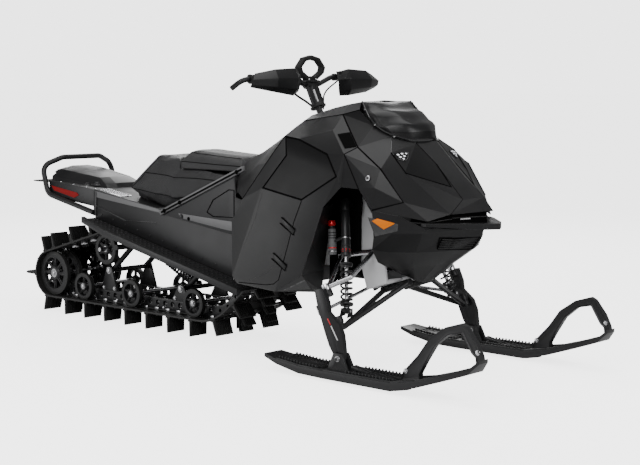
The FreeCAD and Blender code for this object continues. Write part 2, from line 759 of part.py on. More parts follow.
def aligned(triangles):
    """Turn neighbouring triangles the same way, and the whole panel outwards."""
    waiting = [names for names in triangles if len(set(names)) == 3]
    done = [waiting.pop(0)]
    for names in done:
        ahead = {(names[i], names[i - 2]) for i in range(3)}
        for other in list(waiting):
            edges = {(other[i], other[i - 2]) for i in range(3)}
            back = {edge[::-1] for edge in edges}
            if ahead & (edges | back):
                waiting.remove(other)
                done.append(other[::-1] if ahead & edges else other)
    if sum(outwardness(names) for names in done) < 0:
        done = [names[::-1] for names in done]
    return done + (aligned(waiting) if waiting else [])


def triangles_of(faces, sides=("", "|r")):
    result = []
    for side in sides:
        for face in faces:
            names = [name if NET[name][1] == 0 else name + side for name in face]
            result += [(names[0], second, third) for second, third in zip(names[1:-1], names[2:])]
    return aligned(result)


def net_normals():
    normals = {}
    for faces in PANELS.values():
        for names in triangles_of(faces):
            a, b, c = (net_point(name) for name in names)
            for name in names:
                normals[name] = normals.get(name, Vector()) + (b - a).cross(c - a)
    return {name: normal.normalize() for name, normal in normals.items()}


def body_panel(key, sides):
    """One panel of the net as a closed solid, its wall inside and its rim drawn back from the seam."""
    triangles = triangles_of(PANELS[key], sides)
    edges = {edge for a, b, c in triangles for edge in ((a, b), (b, c), (c, a))}
    rim = [edge for edge in edges if edge[::-1] not in edges]
    on_rim = {name for edge in rim for name in edge}
    outer = {name: net_point(name) for names in triangles for name in names}
    for name in on_rim:
        pull = Vector()
        for names in triangles:
            if name in names:
                centre = sum((net_point(other) for other in names), Vector()) * (1 / 3)
                pull += (centre - net_point(name)).normalize()
        outer[name] = outer[name] + pull.normalize() * (float(d.panel_seam) / 2)
    inner = {name: outer[name] - NORMALS[name] * float(d.panel_wall) for name in outer}
    skin = [(outer[a], outer[b], outer[c]) for a, b, c in triangles]
    skin += [(inner[c], inner[b], inner[a]) for a, b, c in triangles]
    for a, b in rim:
        skin += [(outer[b], outer[a], inner[a]), (outer[b], inner[a], inner[b])]
    return facet_solid(skin)


NORMALS = net_normals()


def plate_on(facet, outline, lift, thick):
    """A flat plate over a facet: its outline runs along the facet's first edge and across to its
    third corner; the plate starts at the given lift and grows outwards."""
    a, b, c = (vec(*corner) for corner in facet)
    along = (b - a).normalize()
    across = (c - a - along * along.dot(c - a)).normalize()
    normal = along.cross(across)
    if normal.dot(a - HEART) < 0:
        normal = normal * -1
    corners = [a + along * u + across * v + normal * lift for u, v in outline]
    return Part.Face(Part.makePolygon(corners + corners[:1])).extrude(normal * thick)


def grown(outline, margin):
    """An outline moved outwards from its middle by about the margin."""
    middle_u = sum(u for u, _ in outline) / len(outline)
    middle_v = sum(v for _, v in outline) / len(outline)
    moved = []
    for u, v in outline:
        reach = math.hypot(u - middle_u, v - middle_v)
        share = 1 + margin / reach
        moved.append((middle_u + (u - middle_u) * share, middle_v + (v - middle_v) * share))
    return moved


def column_clearance():
    return rod(column_point(260), column_point(-400), float(d.column_tube) + 22)


def column_point(height):
    """A point of the steering column's axis, by its height over the console's opening."""
    return vec(d.column_x, 0, d.column_z) + KING_AXIS * (height / KING_AXIS.z)


LAMP_FACET = [NET["brow"], NET["lamp_low"], NET["screen_side"]]
LAMP_OUTLINE = [(8, 5), (10, 44), (26, 74), (48, 53), (55, 34), (34, 6)]
LAMP_DEEP = 14


def make_bodywork():
    for name, side in SIDES:
        left = body_panel("side_panel", ("",))
        feature(f"side_panel_{name}", left if side > 0 else flipped(left))
    for key in ("shrouds", "footwells"):
        pair(key, body_panel(key, ("",)))
    for key in ("tank_cover", "console"):
        feature(key, body_panel(key, ("", "|r")).cut(column_clearance()))
    feature("belly_pan", body_panel("belly_pan", ("", "|r")))
    opening = plate_on(LAMP_FACET, grown(LAMP_OUTLINE, 1.0), -LAMP_DEEP - 6, LAMP_DEEP + 20)
    hood = body_panel("hood", ("", "|r"))
    feature("hood", hood.cut(opening).cut(flipped(opening)))


def make_headlights():
    pair("headlights", plate_on(LAMP_FACET, LAMP_OUTLINE, -LAMP_DEEP, LAMP_DEEP - 1.0))


def make_front_reflectors():
    """Pentagon reflectors on the pan's upper side facets."""
    facet = [NET["belly_b4"], NET["belly_b3"], NET["wing_rear"]]
    outline = [(10, 66), (33, 71), (96, 37), (90, 33), (47, 23)]
    pair("front_reflectors", plate_on(facet, outline, 0.6, 3))


def make_windshield():
    rows = [
        [(787, 154, 1082.6), (792, 80, 1083.6), (797, 0, 1078.6)],
        [(826, 172, 1037), (880, 100, 1049), (905, 0, 1045)],
        [(872, 167, 983), (965, 92, 1001), (985, 0, 1001)],
        [(928, 133, 947.1), (1004, 74, 924.1), (1047, 0, 931.6)],
    ]
    rows = [[(x, hull(y), z) for x, y, z in points] for points in rows]
    points, faces = grid([points[::-1] for points in rows])
    feature("windshield", panel(*both_sides(points, faces), wall=3))


def make_front_bumper():
    """The lip round the nose, a band that stands on the belly pan's upper edge."""
    outer = [(1368, 0, 591.8), (1330, 62, 591.8), (1205, 190, 601.8), (1170, 216, 601.8)]
    inner = [(1288, 0), (1232, 92), (1150, 205), (1138, 214)]
    half = []
    for (x, y, low), (inner_x, inner_y) in zip(outer, inner):
        high = 616
        half.append([(x, hull(y), low), (x, hull(y), high), (inner_x, hull(inner_y), high),
                     (inner_x, hull(inner_y), low)])
    rings = [[(x, -y, z) for x, y, z in ring] for ring in reversed(half[1:])] + half
    feature("front_bumper", ring_solid(rings))


# ---------------------------------------------------------------- seat

def make_seat():
    base = ring_solid([
        mirrored_ring([(-640, 120, 612.5), (-400, 165, 580.5), (0, 165, 622.5), (60, 165, 631.6)]),
        mirrored_ring([(-690, 105, 664), (-628, 186, 660), (-322, 190, 626), (60, 180, 668)]),
        mirrored_ring([(-612, 92, 745), (-540, 165, 738), (-314, 166, 728), (60, 170, 735)]),
        mirrored_ring([(-545, 78, 817), (-492, 108, 820), (-352, 118, 812), (-345, 118, 760)]),
    ])
    cushion = ring_solid([
        mirrored_ring([(-330, 60, 762), (-325, 140, 762), (70, 140, 762), (78, 60, 762)]),
        mirrored_ring([(-332, 60, 800), (-326, 136, 796), (66, 134, 790), (76, 60, 790)]),
        mirrored_ring([(-310, 60, 846), (-296, 100, 843), (40, 100, 824), (62, 60, 826)]),
    ])
    feature("seat_base", base.cut(cushion_space()))
    feature("seat_cushion", cushion)


def cushion_space():
    """Room for the raised cushion, with a small gap all round."""
    return Part.makeBox(420, 300, 200, Vector(-332.5, -150, 761.7))


# ---------------------------------------------------------------- tail pieces

def make_rear_bumper():
    y = float(d.tail_half + d.bumper_tube) + SEAT_GAP
    points = [Vector(-856, y, 530), Vector(-1215, y, 602), Vector(-1256, y, 740),
              Vector(-1222, 118, 781)]
    points += [Vector(point.x, -point.y, point.z) for point in reversed(points)]
    feature("rear_bumper", tube(points, d.bumper_tube, fixed=55))


def make_snow_flap():
    rings = []
    for x, half, z in ((-1190, 190, 657), (-1330, 195, 656), (-1425, 150, 652)):
        rings.append([(x, -half, z), (x, half, z), (x, half, z + 6), (x, -half, z + 6)])
    feature("snow_flap", ring_solid(rings))


TAIL_FACET = [(-1252, 60, 705), (-1240, 170, 690), (-1235, 50, 736)]


def make_tail_housing():
    """Raised cover on the tail that carries the tail lamps."""
    low = lambda x: 668.3 - (x + 1220) * (668 - 640) / (1220 - 850.3)
    rings = [
        mirrored_ring([(-1215, 60, low(-1215)), (-1212, 196, low(-1212)), (-870, 120, low(-870)),
                       (-862, 60, low(-862))]),
        mirrored_ring([(-1252, 60, 705), (-1240, 170, 690), (-900, 110, 664), (-880, 60, 664)]),
        mirrored_ring([(-1235, 50, 736), (-1222, 130, 722), (-960, 95, 690), (-940, 50, 692)]),
    ]
    feature("tail_housing", ring_solid(rings))


def make_tail_lamps():
    """Hexagonal lamps on the housing's rear corners."""
    hexagon = [(8, 16), (24, 7), (80, 7), (98, 15), (80, 26), (24, 28)]
    lamp = plate_on(TAIL_FACET, hexagon, SEAT_GAP / 3, 4)
    pair("tail_lamps", lamp)


def make_rear_reflectors():
    outline = [Vector(-1200, 0, 643), Vector(-1000, 0, 618), Vector(-985, 0, 606), Vector(-1020, 0, 592),
               Vector(-1178, 0, 620)]
    plate = Part.Face(Part.makePolygon(outline + outline[:1])).extrude(Vector(0, 3, 0))
    plate.translate(Vector(0, float(d.tail_half) + SEAT_GAP, 0))
    pair("rear_reflectors", plate)


# ---------------------------------------------------------------- front suspension

LOW_JOINT = vec(d.king_x, KING_Y, d.king_z)
HIGH_JOINT = LOW_JOINT + KING_AXIS * float(d.king_span)
EYE_LONG = 24.0
LUG_GAP = 1.0


def floor_line(x, below):
    """A point height under the bulkhead's sloping floor, square to it by the given distance."""
    slope = math.atan2(372 - 318, 985 - 826)
    return 318 + (x - 826) * math.tan(slope) - below / math.cos(slope)


def make_lower_arms():
    drop = 14 + SEAT_GAP
    front = Vector(975, 75, floor_line(975, drop))
    rear = Vector(850, 75, floor_line(850, drop))
    joint = LOW_JOINT
    knuckle = joint - Vector(0, 14, 0) - KING_AXIS * 6
    parts = [rod(rear + (rear - front) * 0.1, front + (front - rear) * 0.08, 14),
             rod(front, knuckle, d.arm_tube), rod(rear, knuckle, d.arm_tube),
             Part.makeCylinder(16, EYE_LONG, joint - KING_AXIS * (EYE_LONG / 2), KING_AXIS)]
    arm = fused(parts)
    bore = Part.makeCylinder(float(d.king_pin) + float(d.bolt_play), 80, joint - KING_AXIS * 40, KING_AXIS)
    pair("lower_arms", arm.cut(bore))


def make_upper_arms():
    y = float(d.cast_half) + 12 + SEAT_GAP
    front, rear = Vector(870, y, 479), Vector(702, y, 449)
    knuckle = HIGH_JOINT - Vector(0, 12, 0)
    share = (float(KING_Y) - 330) / (float(KING_Y) - y)
    bow = HIGH_JOINT + (front - HIGH_JOINT) * share + Vector(44, 0, -6)
    parts = [rod(rear - Vector(12, 0, 2), front + Vector(12, 0, 2), 12),
             rod(knuckle, bow, 10), rod(bow, front, 10), Part.makeSphere(10, bow), rod(knuckle, rear, 9),
             Part.makeCylinder(16, EYE_LONG, HIGH_JOINT - KING_AXIS * (EYE_LONG / 2), KING_AXIS)]
    arm = fused(parts)
    bore = Part.makeCylinder(float(d.king_pin) + float(d.bolt_play), 80, HIGH_JOINT - KING_AXIS * 40,
                             KING_AXIS)
    pair("upper_arms", arm.cut(bore))


def make_front_shocks():
    top_y = 210.0
    low_y = float(KING_Y) - 62
    top, low = Vector(749, top_y, 666), Vector(882, low_y, 258)
    line = low - top
    reach = float(d.cast_half) + SEAT_GAP
    neck, collar = top + line * 0.5, top + line * 0.93
    jar_low, jar_top = Vector(728, 262, 462), Vector(714, 252, 566)
    parts = [Part.makeCylinder(13, top_y + 14 - reach, Vector(top.x, reach, top.z), Vector(0, 1, 0)),
             eye(low, Vector(1, 0, 0), 13, 0, 30), rod(top, neck, 19), rod(neck, low, 8),
             rod(top + line * 0.62, collar, 27), rod(jar_low, jar_top, 17),
             rod(jar_top, jar_top + (jar_top - jar_low) * 0.2, 9),
             rod(top + line * 0.3, (jar_low + jar_top) * 0.5, 7)]
    pair("front_shocks", fused(parts))


def make_spindles():
    """Forged spindle: foot on the ski bolt, lugs with pins for the ball joints, steering arm."""
    y = float(d.ski_half)
    half = 12.0
    outline = [(800, 345), (842, 352), (866, 300), (872, 262), (925, 222), (945, 178), (955, 110),
               (955, 87), (911, 87), (880, 130), (858, 178), (838, 228), (822, 262), (812, 300)]
    corners = [Vector(x, y - half, z) for x, z in outline]
    leg = Part.Face(Part.makePolygon(corners + corners[:1])).extrude(Vector(0, 2 * half, 0))
    bolt = vec(d.ski_bolt_x, y, d.ski_bolt_z)
    foot = eye(bolt, Vector(0, 1, 0), 24, 0, 2 * half)
    pin = float(d.king_pin)
    low_face = LOW_JOINT + KING_AXIS * (EYE_LONG / 2 + LUG_GAP)
    high_face = HIGH_JOINT - KING_AXIS * (EYE_LONG / 2 + LUG_GAP)
    lug_long = 26.0
    parts = [leg, foot,
             Part.makeCylinder(19, lug_long, low_face, KING_AXIS),
             Part.makeCylinder(pin, EYE_LONG + 2 * LUG_GAP + 4, low_face + KING_AXIS * 2, KING_AXIS * -1),
             Part.makeCylinder(19, lug_long, high_face, KING_AXIS * -1),
             Part.makeCylinder(pin, EYE_LONG + 2 * LUG_GAP + 4, high_face - KING_AXIS * 2, KING_AXIS)]
    ball = rod_ball()
    parts.append(rod(Vector(831, y, 288), ball + KING_AXIS * 21, 9))
    parts.append(Part.makeCylinder(11, 18, ball + KING_AXIS * 11.5, KING_AXIS))
    parts.append(Part.makeCylinder(5, 28, ball - KING_AXIS * 12, KING_AXIS))
    spindle = fused(parts)
    hole = eye(bolt, Vector(0, 1, 0), float(d.ski_bolt) + float(d.bolt_play), 0, 60)
    spindle = spindle.cut(hole)
    feature("spindle_left", spindle)
    feature("spindle_right", flipped(spindle))


def rod_ball():
    """Pin centre at the end of the left spindle's steering arm."""
    return LOW_JOINT + KING_AXIS * 88 + ARM_BACK


def pitman_ball():
    """Pin centre at the end of the column's steering arm."""
    return pitman_foot() + ARM_BACK


def pitman_foot():
    """The point of the column's axis level with the tie rods, square to the leaning axes."""
    top = column_point(0)
    return top + KING_AXIS * (rod_ball() - ARM_BACK + Vector(-93, 0, 60) - top).dot(KING_AXIS)


def make_tie_rods():
    for name, side in SIDES:
        outer = rod_ball()
        inner = pitman_ball() + KING_AXIS * (10 * side)
        line = (inner - outer).normalize()
        bar = rod(outer + line * 10, inner - line * 10, d.rod_tube)
        parts = [bar, eye(outer, KING_AXIS, 12, 0, 16), eye(inner, KING_AXIS, 12, 0, 16)]
        solid = fused(parts)
        for centre in (outer, inner):
            solid = solid.cut(eye(centre, KING_AXIS, 5 + float(d.bolt_play), 0, 60))
        feature(f"tie_rod_{name}", solid if side > 0 else flipped(solid))


SKI_STATIONS = [(562, 100, 52, 66), (640, 130, 34, 54), (770, 146, 14, 44), (900, 150, 12, 42),
                (1240, 150, 12, 44), (1353, 144, 40, 64), (1466, 128, 78, 98), (1576, 96, 118, 136),
                (1612, 56, 158, 172)]


def ski_top(x):
    for (x0, _, _, z0), (x1, _, _, z1) in zip(SKI_STATIONS, SKI_STATIONS[1:]):
        if x0 <= x <= x1:
            return z0 + (z1 - z0) * (x - x0) / (x1 - x0)
    return 0


def make_skis():
    wide = float(d.ski_wide) / 150
    y = float(d.ski_half)
    rings = []
    for x, width, low, high in SKI_STATIONS:
        half = width * wide / 2
        rings.append([(x, y - half, low), (x, y + half, low), (x, y + half, high), (x, y - half, high)])
    board = ring_solid(rings)
    keel = ring_solid([[(x, y - w, low), (x, y + w, low), (x, y + w, 20), (x, y - w, 20)]
                       for x, w, low in ((740, 12, 10), (790, 15, 0), (1215, 15, 0), (1275, 12, 12))])
    parts = [board, keel]
    ear_in = 12 + 2.0
    for side in (1, -1):
        start = y + side * ear_in if side > 0 else y - ear_in - 9
        ear = [Vector(880, start, 40), Vector(990, start, 40), Vector(955, start, 108), Vector(911, start, 108)]
        parts.append(Part.Face(Part.makePolygon(ear + ear[:1])).extrude(Vector(0, 9, 0)))
    parts.append(eye(vec(d.ski_bolt_x, y, d.ski_bolt_z), Vector(0, 1, 0), d.ski_bolt, 0, 62))
    ski = fused(parts)
    feature("ski_left", ski)
    feature("ski_right", flipped(ski))


def make_ski_loops():
    """Handle loops that rise from the ski's fore part and come down at its tip."""
    outer = [(1250, 78), (1322, 152), (1374, 222), (1448, 272), (1518, 294), (1540, 284), (1586, 228),
             (1608, 184)]
    inner = [(1584, 176), (1566, 190), (1522, 258), (1459, 244), (1400, 196), (1358, 131), (1330, 82)]
    foot_front = [(1611, ski_top(1611) + SEAT_GAP), (1588, ski_top(1588) + SEAT_GAP)]
    foot_rear = [(1332, ski_top(1332) + SEAT_GAP), (1242, ski_top(1242) + SEAT_GAP)]
    for name, side in SIDES:
        body = slab(f"ski_loop_{name}", outer + foot_front + inner + foot_rear, 26)
        keep(body, f"ski_loop_{name}", y=side * d.ski_half)


# ---------------------------------------------------------------- steering

BAR_CENTRE = Vector(362, 0, 1152)


def make_column():
    """Column with its riser on top and the steering arm that both tie rods hang on."""
    foot = pitman_foot()
    ball = pitman_ball()
    top = column_point(0)
    head = BAR_CENTRE + Vector(0, 0, -2)
    parts = [rod(foot - KING_AXIS * 24, top, d.column_tube),
             Part.makeSphere(float(d.column_tube), top),
             rod(top, head, 19), eye(head, Vector(0, 1, 0), 19, 0, 66)]
    for turn in (1, -1):
        level = foot + KING_AXIS * (turn * 27.0)
        end = ball + KING_AXIS * (turn * 27.0)
        parts.append(rod(level, end, 7))
        parts.append(eye(end, KING_AXIS, 10, 0, 12))
    parts.append(rod(ball - KING_AXIS * 29, ball + KING_AXIS * 29, 5))
    column = fused(parts)
    bar_hole = eye(BAR_CENTRE, Vector(0, 1, 0), float(d.bar_tube) + CLAMP_PLAY, 0, 90)
    feature("steering_column", column.cut(bar_hole))


BAR_POINTS = [Vector(360, 0, 1150), Vector(362, 50, 1152), Vector(377, 110, 1182), Vector(384, 170, 1186),
              Vector(366, 395, 1171)]


def bar_point(share):
    """A point on the handlebar's left grip run, from its bend to its end."""
    start = BAR_POINTS[3]
    end = bar_end()
    return start + (end - start) * share


def bar_end():
    return Vector(BAR_POINTS[4].x, float(d.bar_half), BAR_POINTS[4].z)


def make_handlebar():
    left = BAR_POINTS[1:4] + [bar_end()]
    corner = bar_point(1.1)
    hook = [corner, corner + Vector(-48, 16, -36)]
    right = [Vector(point.x, -point.y, point.z) for point in hook[::-1] + left[::-1][1:]]
    route = right + left
    feature("handlebar", tube(route, d.bar_tube, fixed=45))


def make_grips():
    start, end = bar_point(0.2), bar_point(0.93)
    bore = rod(start - (end - start) * 0.1, end + (end - start) * 0.1, float(d.bar_tube) + CLAMP_PLAY)
    grip = rod(start, end, 17).cut(bore)
    pair("grips", grip)


def make_controls():
    """Switch block and brake cylinder on the left, throttle block on the right, with their levers."""
    centre = bar_point(0.08)
    run = (bar_end() - BAR_POINTS[3]).normalize()
    body = Part.makeCylinder(22, 34, centre - run * 17, run)
    cylinder = Part.makeBox(28, 53, 30, centre + Vector(10, -33, -4))
    lever = tube([centre + Vector(32, 18, 0), centre + Vector(42, 90, -6), centre + Vector(30, 170, -12)],
                 6, fixed=60)
    bore = rod(centre - run * 40, centre + run * 40, float(d.bar_tube) + CLAMP_PLAY)
    left = fused([body, cylinder, lever]).cut(bore)
    thumb = fused([body, Part.makeBox(26, 30, 34, centre + Vector(-4, -15, -34)),
                   rod(centre + Vector(8, 4, -26), centre + Vector(26, 34, -34), 6)]).cut(bore)
    feature("controls", Part.makeCompound([left, flipped(thumb)]))


def make_hand_guards():
    """Wind deflectors: curved shells in front of the grips, each on an arm from the bar's bend."""
    rows = [
        [(404, 122, 1206), (420, 118, 1172), (412, 130, 1122), (398, 150, 1102)],
        [(430, 170, 1220), (450, 170, 1178), (446, 174, 1130), (424, 180, 1104)],
        [(430, 290, 1214), (458, 300, 1176), (452, 300, 1140), (430, 290, 1118)],
        [(394, 375, 1196), (412, 402, 1170), (405, 405, 1150), (392, 398, 1138)],
    ]
    points, faces = grid([points[::-1] for points in rows])
    guard = panel(points, faces, 4)
    start, end = BAR_POINTS[2], BAR_POINTS[3]
    hold = start + (end - start) * 0.42
    run = (end - start).normalize()
    stem = rod(hold, Vector(436, 150, 1176), 6)
    clamp = Part.makeCylinder(16, 16, hold - run * 8, run)
    bore = rod(hold - run * 20, hold + run * 20, float(d.bar_tube) + CLAMP_PLAY)
    pair("hand_guards", fused([guard, fused([stem, clamp]).cut(bore)]))


def make_grab_strap():
    """Closed strap loop that stands on the middle of the handlebar."""
    heights = [(30, 1169.3), (76, 1200), (86, 1226), (50, 1266), (0, 1277)]
    outer = [Vector(344, y, z) for y, z in heights] + [Vector(344, -y, z) for y, z in heights[-2::-1]]
    inner = [Vector(344, y * 0.74, 1222 + (z - 1222) * 0.66) for y, z in
             [(point.y, point.z) for point in outer]]
    ring = Part.Face(Part.makePolygon(outer + outer[:1]))
    ring = ring.cut(Part.Face(Part.makePolygon(inner + inner[:1])))
    loop = ring.extrude(Vector(30, 0, 0))
    feature("grab_strap", loop)


def make_cables():
    """Cable bundle from the right control and hose from the left one, down the riser."""
    feature("throttle_cable", tube([Vector(374, -167.6, 1169), Vector(362, -140, 1146),
                                    Vector(353, -108, 1122), Vector(360, -74, 1098),
                                    Vector(380, -42, 1076), Vector(403, -21.6, 1050)], 5, report="cable"))
    feature("brake_hose", tube([Vector(374, 167.6, 1170), Vector(364, 142, 1150), Vector(356, 112, 1128),
                                Vector(366, 80, 1102), Vector(392, 51, 1076), Vector(415, 25, 1046)], 3.5,
                               report="hose"))


for build in (make_track, make_rails, make_drive, make_wheels, make_suspension_arms,
              make_suspension_brackets, make_rear_shocks, make_tunnel, make_tail, make_boards,
              make_braces, make_bulkhead, make_engine, make_bodywork, make_windshield,
              make_front_bumper, make_headlights, make_front_reflectors, make_seat, make_rear_bumper,
              make_snow_flap, make_tail_housing, make_tail_lamps, make_rear_reflectors,
              make_lower_arms, make_upper_arms, make_front_shocks, make_spindles, make_tie_rods,
              make_skis, make_ski_loops, make_column, make_handlebar, make_grips, make_controls,
              make_hand_guards, make_grab_strap, make_cables):
    build()

doc.recompute()
faulty = [thing.Label for thing in doc.Objects if {"Invalid", "Error"} & set(thing.State)]
if faulty:
    raise RuntimeError(f"objects that failed: {faulty}")
os.makedirs("parts", exist_ok=True)
for node in NODES:
    if node.Shape.isNull() or not node.Shape.isValid():
        raise RuntimeError(f"{node.Label} has no valid shape")
for node in NODES:
    node.Shape.exportStep(f"parts/{node.Label}.step")
    span = node.Shape.BoundBox
    print(f"{node.Label:20s} solids {len(node.Shape.Solids)} volume {node.Shape.Volume / 1000:9.1f} cm3",
          f"x {span.XMin:.0f}..{span.XMax:.0f} y {span.YMin:.0f}..{span.YMax:.0f} z {span.ZMin:.0f}..{span.ZMax:.0f}")
print(len(NODES), "nodes")
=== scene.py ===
import math

import bmesh
import bpy
from mathutils import Matrix, Vector
from mathutils.bvhtree import BVHTree


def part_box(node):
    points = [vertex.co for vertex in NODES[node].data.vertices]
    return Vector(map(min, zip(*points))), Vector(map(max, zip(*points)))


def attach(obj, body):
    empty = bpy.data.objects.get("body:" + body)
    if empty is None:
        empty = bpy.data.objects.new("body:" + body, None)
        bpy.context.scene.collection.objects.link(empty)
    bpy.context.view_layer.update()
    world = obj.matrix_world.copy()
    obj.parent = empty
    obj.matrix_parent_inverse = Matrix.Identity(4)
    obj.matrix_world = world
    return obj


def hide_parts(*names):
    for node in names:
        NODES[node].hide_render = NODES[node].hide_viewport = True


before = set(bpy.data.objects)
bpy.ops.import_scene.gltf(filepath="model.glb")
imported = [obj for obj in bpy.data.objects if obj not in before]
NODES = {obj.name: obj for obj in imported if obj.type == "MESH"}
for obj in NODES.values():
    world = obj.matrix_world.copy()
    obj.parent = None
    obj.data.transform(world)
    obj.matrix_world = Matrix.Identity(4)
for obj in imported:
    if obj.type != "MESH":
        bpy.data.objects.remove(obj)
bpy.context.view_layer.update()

MIDDLE = 93.5
SIDES = ((1, "left"), (-1, "right"))


def P(x, y, z):
    """A point in metres from millimetres along, across and above the ground."""
    return Vector(((x - MIDDLE) / 1000, y / 1000, z / 1000))


# ---------------------------------------------------------------- mesh helpers

def finished(name, mesh, body, material, replaces=(), angle=32):
    """A mesh made into a piece that rides on its body."""
    for polygon in mesh.polygons:
        polygon.use_smooth = True
    mesh.set_sharp_from_angle(angle=math.radians(angle))
    piece = bpy.data.objects.new(name, mesh)
    bpy.context.scene.collection.objects.link(piece)
    for one in (material if isinstance(material, (list, tuple)) else [material]):
        mesh.materials.append(one)
    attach(piece, body)
    if replaces:
        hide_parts(*replaces)
    return piece


def piece_from(name, bm, body, material, replaces=(), angle=32):
    bmesh.ops.recalc_face_normals(bm, faces=bm.faces)
    mesh = bpy.data.meshes.new(name)
    bm.to_mesh(mesh)
    bm.free()
    return finished(name, mesh, body, material, replaces, angle)


def merged(node, flat=1.0):
    """A working copy of a node's mesh, its loose triangles joined and its flat areas made whole."""
    bm = bmesh.new()
    bm.from_mesh(NODES[node].data)
    bmesh.ops.remove_doubles(bm, verts=bm.verts, dist=0.00002)
    bmesh.ops.dissolve_limit(bm, angle_limit=math.radians(flat), verts=bm.verts, edges=bm.edges,
                             delimit={"NORMAL"})
    bm.normal_update()
    return bm


def soften(bm, offset, angle=20, segments=2, edges=None, index=-1):
    """Rounds the edges sharper than an angle."""
    if edges is None:
        edges = [e for e in bm.edges
                 if len(e.link_faces) == 2 and e.calc_face_angle(0) > math.radians(angle)]
    if edges:
        bmesh.ops.bevel(bm, geom=edges, offset=offset, offset_type="OFFSET", affect="EDGES",
                        segments=segments, profile=0.5, clamp_overlap=True, material=index)
    bm.normal_update()


def block(bm, centre, size, turn=None, bevel=0.0, segments=2, index=0):
    """A box, rounded on its edges, added to a mesh. Centre in metres, size in metres."""
    matrix = Matrix.Translation(centre) @ (turn.to_4x4() if turn else Matrix.Identity(4))
    matrix = matrix @ Matrix.Diagonal((size[0], size[1], size[2], 1.0))
    made = bmesh.ops.create_cube(bm, size=1.0, matrix=matrix)
    faces = {f for v in made["verts"] for f in v.link_faces}
    for face in faces:
        face.material_index = index
    if bevel:
        edges = {e for f in faces for e in f.edges}
        bmesh.ops.bevel(bm, geom=list(edges), offset=bevel, offset_type="OFFSET", affect="EDGES",
                        segments=segments, profile=0.5, clamp_overlap=True, material=-1)


def along(direction):
    """A turn that takes Z to a direction."""
    return Vector(direction).to_track_quat("Z", "Y").to_matrix()


def drum(bm, start, end, radius, sides=24, bevel=0.0, tip=None, index=0):
    """A round bar or cone between two points."""
    axis = end - start
    matrix = Matrix.Translation((start + end) / 2) @ along(axis).to_4x4()
    made = bmesh.ops.create_cone(bm, cap_ends=True, segments=sides, radius1=radius,
                                 radius2=radius if tip is None else tip, depth=axis.length,
                                 matrix=matrix)
    faces = {f for v in made["verts"] for f in v.link_faces}
    for face in faces:
        face.material_index = index
    if bevel:
        rims = {e for f in faces if len(f.edges) > 4 for e in f.edges}
        bmesh.ops.bevel(bm, geom=list(rims), offset=bevel, offset_type="OFFSET", affect="EDGES",
                        segments=2, profile=0.5, clamp_overlap=True, material=-1)


def lathe(bm, centre, axis, profile, steps=36, index=0):
    """A closed ring turned from a profile of (distance along the axis, radius) pairs."""
    turn = along(axis)
    corners = [bm.verts.new(centre + turn @ Vector((radius, 0, run))) for run, radius in profile]
    edges = [bm.edges.new((a, b)) for a, b in zip(corners, corners[1:] + corners[:1])]
    before = set(bm.faces)
    bmesh.ops.spin(bm, geom=corners + edges, cent=centre, axis=turn @ Vector((0, 0, 1)),
                   dvec=(0, 0, 0), angle=math.tau, steps=steps, use_merge=True,
                   use_normal_flip=False, use_duplicate=False)
    for face in set(bm.faces) - before:
        face.material_index = index


def plate(bm, outline, thickness, bevel=0.0, index=0):
    """A flat sheet from corner points in metres, thickened along a vector."""
    before = set(bm.faces)
    face = bm.faces.new([bm.verts.new(corner) for corner in outline])
    face.normal_update()
    out = bmesh.ops.extrude_face_region(bm, geom=[face], use_keep_orig=True)
    lifted = [g for g in out["geom"] if isinstance(g, bmesh.types.BMVert)]
    bmesh.ops.translate(bm, verts=lifted, vec=thickness)
    made = set(bm.faces) - before
    for one in made:
        one.material_index = index
    if bevel:
        edges = {e for f in made for e in f.edges}
        bmesh.ops.bevel(bm, geom=list(edges), offset=bevel, offset_type="OFFSET", affect="EDGES",
                        segments=2, profile=0.5, clamp_overlap=True, material=-1)


def line_curve(points, radius, smooth=True, closed=False, sides=8):
    """A smooth tube through or near its points, as a mesh."""
    curve = bpy.data.curves.new("line", "CURVE")
    curve.dimensions = "3D"
    curve.bevel_depth = radius
    curve.bevel_resolution = max(1, sides // 4)
    curve.use_fill_caps = True
    curve.resolution_u = 8 if smooth else 1
    spline = curve.splines.new("NURBS" if smooth else "POLY")
    spline.points.add(len(points) - 1)
    for place, point in zip(spline.points, points):
        place.co = (*point, 1.0)
    spline.use_cyclic_u = closed
    if smooth:
        spline.order_u = 3
        spline.use_endpoint_u = not closed
    holder = bpy.data.objects.new("line", curve)
    bpy.context.scene.collection.objects.link(holder)
    bpy.context.view_layer.update()
    mesh = bpy.data.meshes.new_from_object(holder)
    bpy.data.objects.remove(holder)
    return mesh


def add_mesh(bm, mesh, index=0):
    """Puts a finished mesh into a larger one."""
    before = set(bm.faces)
    bm.from_mesh(mesh)
    for face in set(bm.faces) - before:
        face.material_index = index


def hexagon_bolt(bm, place, axis, size, height, washer=True, index=0, cap_index=None):
    """A flanged bolt head seated on a surface."""
    axis = Vector(axis).normalized()
    if washer:
        lathe(bm, place, axis, [(0, 0.0001), (0, size * 0.72), (height * 0.25, size * 0.68),
                                (height * 0.3, 0.0001)], 20, index)
    made = bmesh.ops.create_cone(
        bm, cap_ends=True, segments=6, radius1=size * 0.55, radius2=size * 0.53, depth=height,
        matrix=Matrix.Translation(place + axis * height / 2) @ along(axis).to_4x4())
    faces = {f for v in made["verts"] for f in v.link_faces}
    for face in faces:
        face.material_index = index if cap_index is None else cap_index
    bmesh.ops.bevel(bm, geom=list({e for f in faces for e in f.edges}), offset=size * 0.05,
                    offset_type="OFFSET", affect="EDGES", segments=2, profile=0.5,
                    clamp_overlap=True, material=-1)


# ---------------------------------------------------------------- shader groups

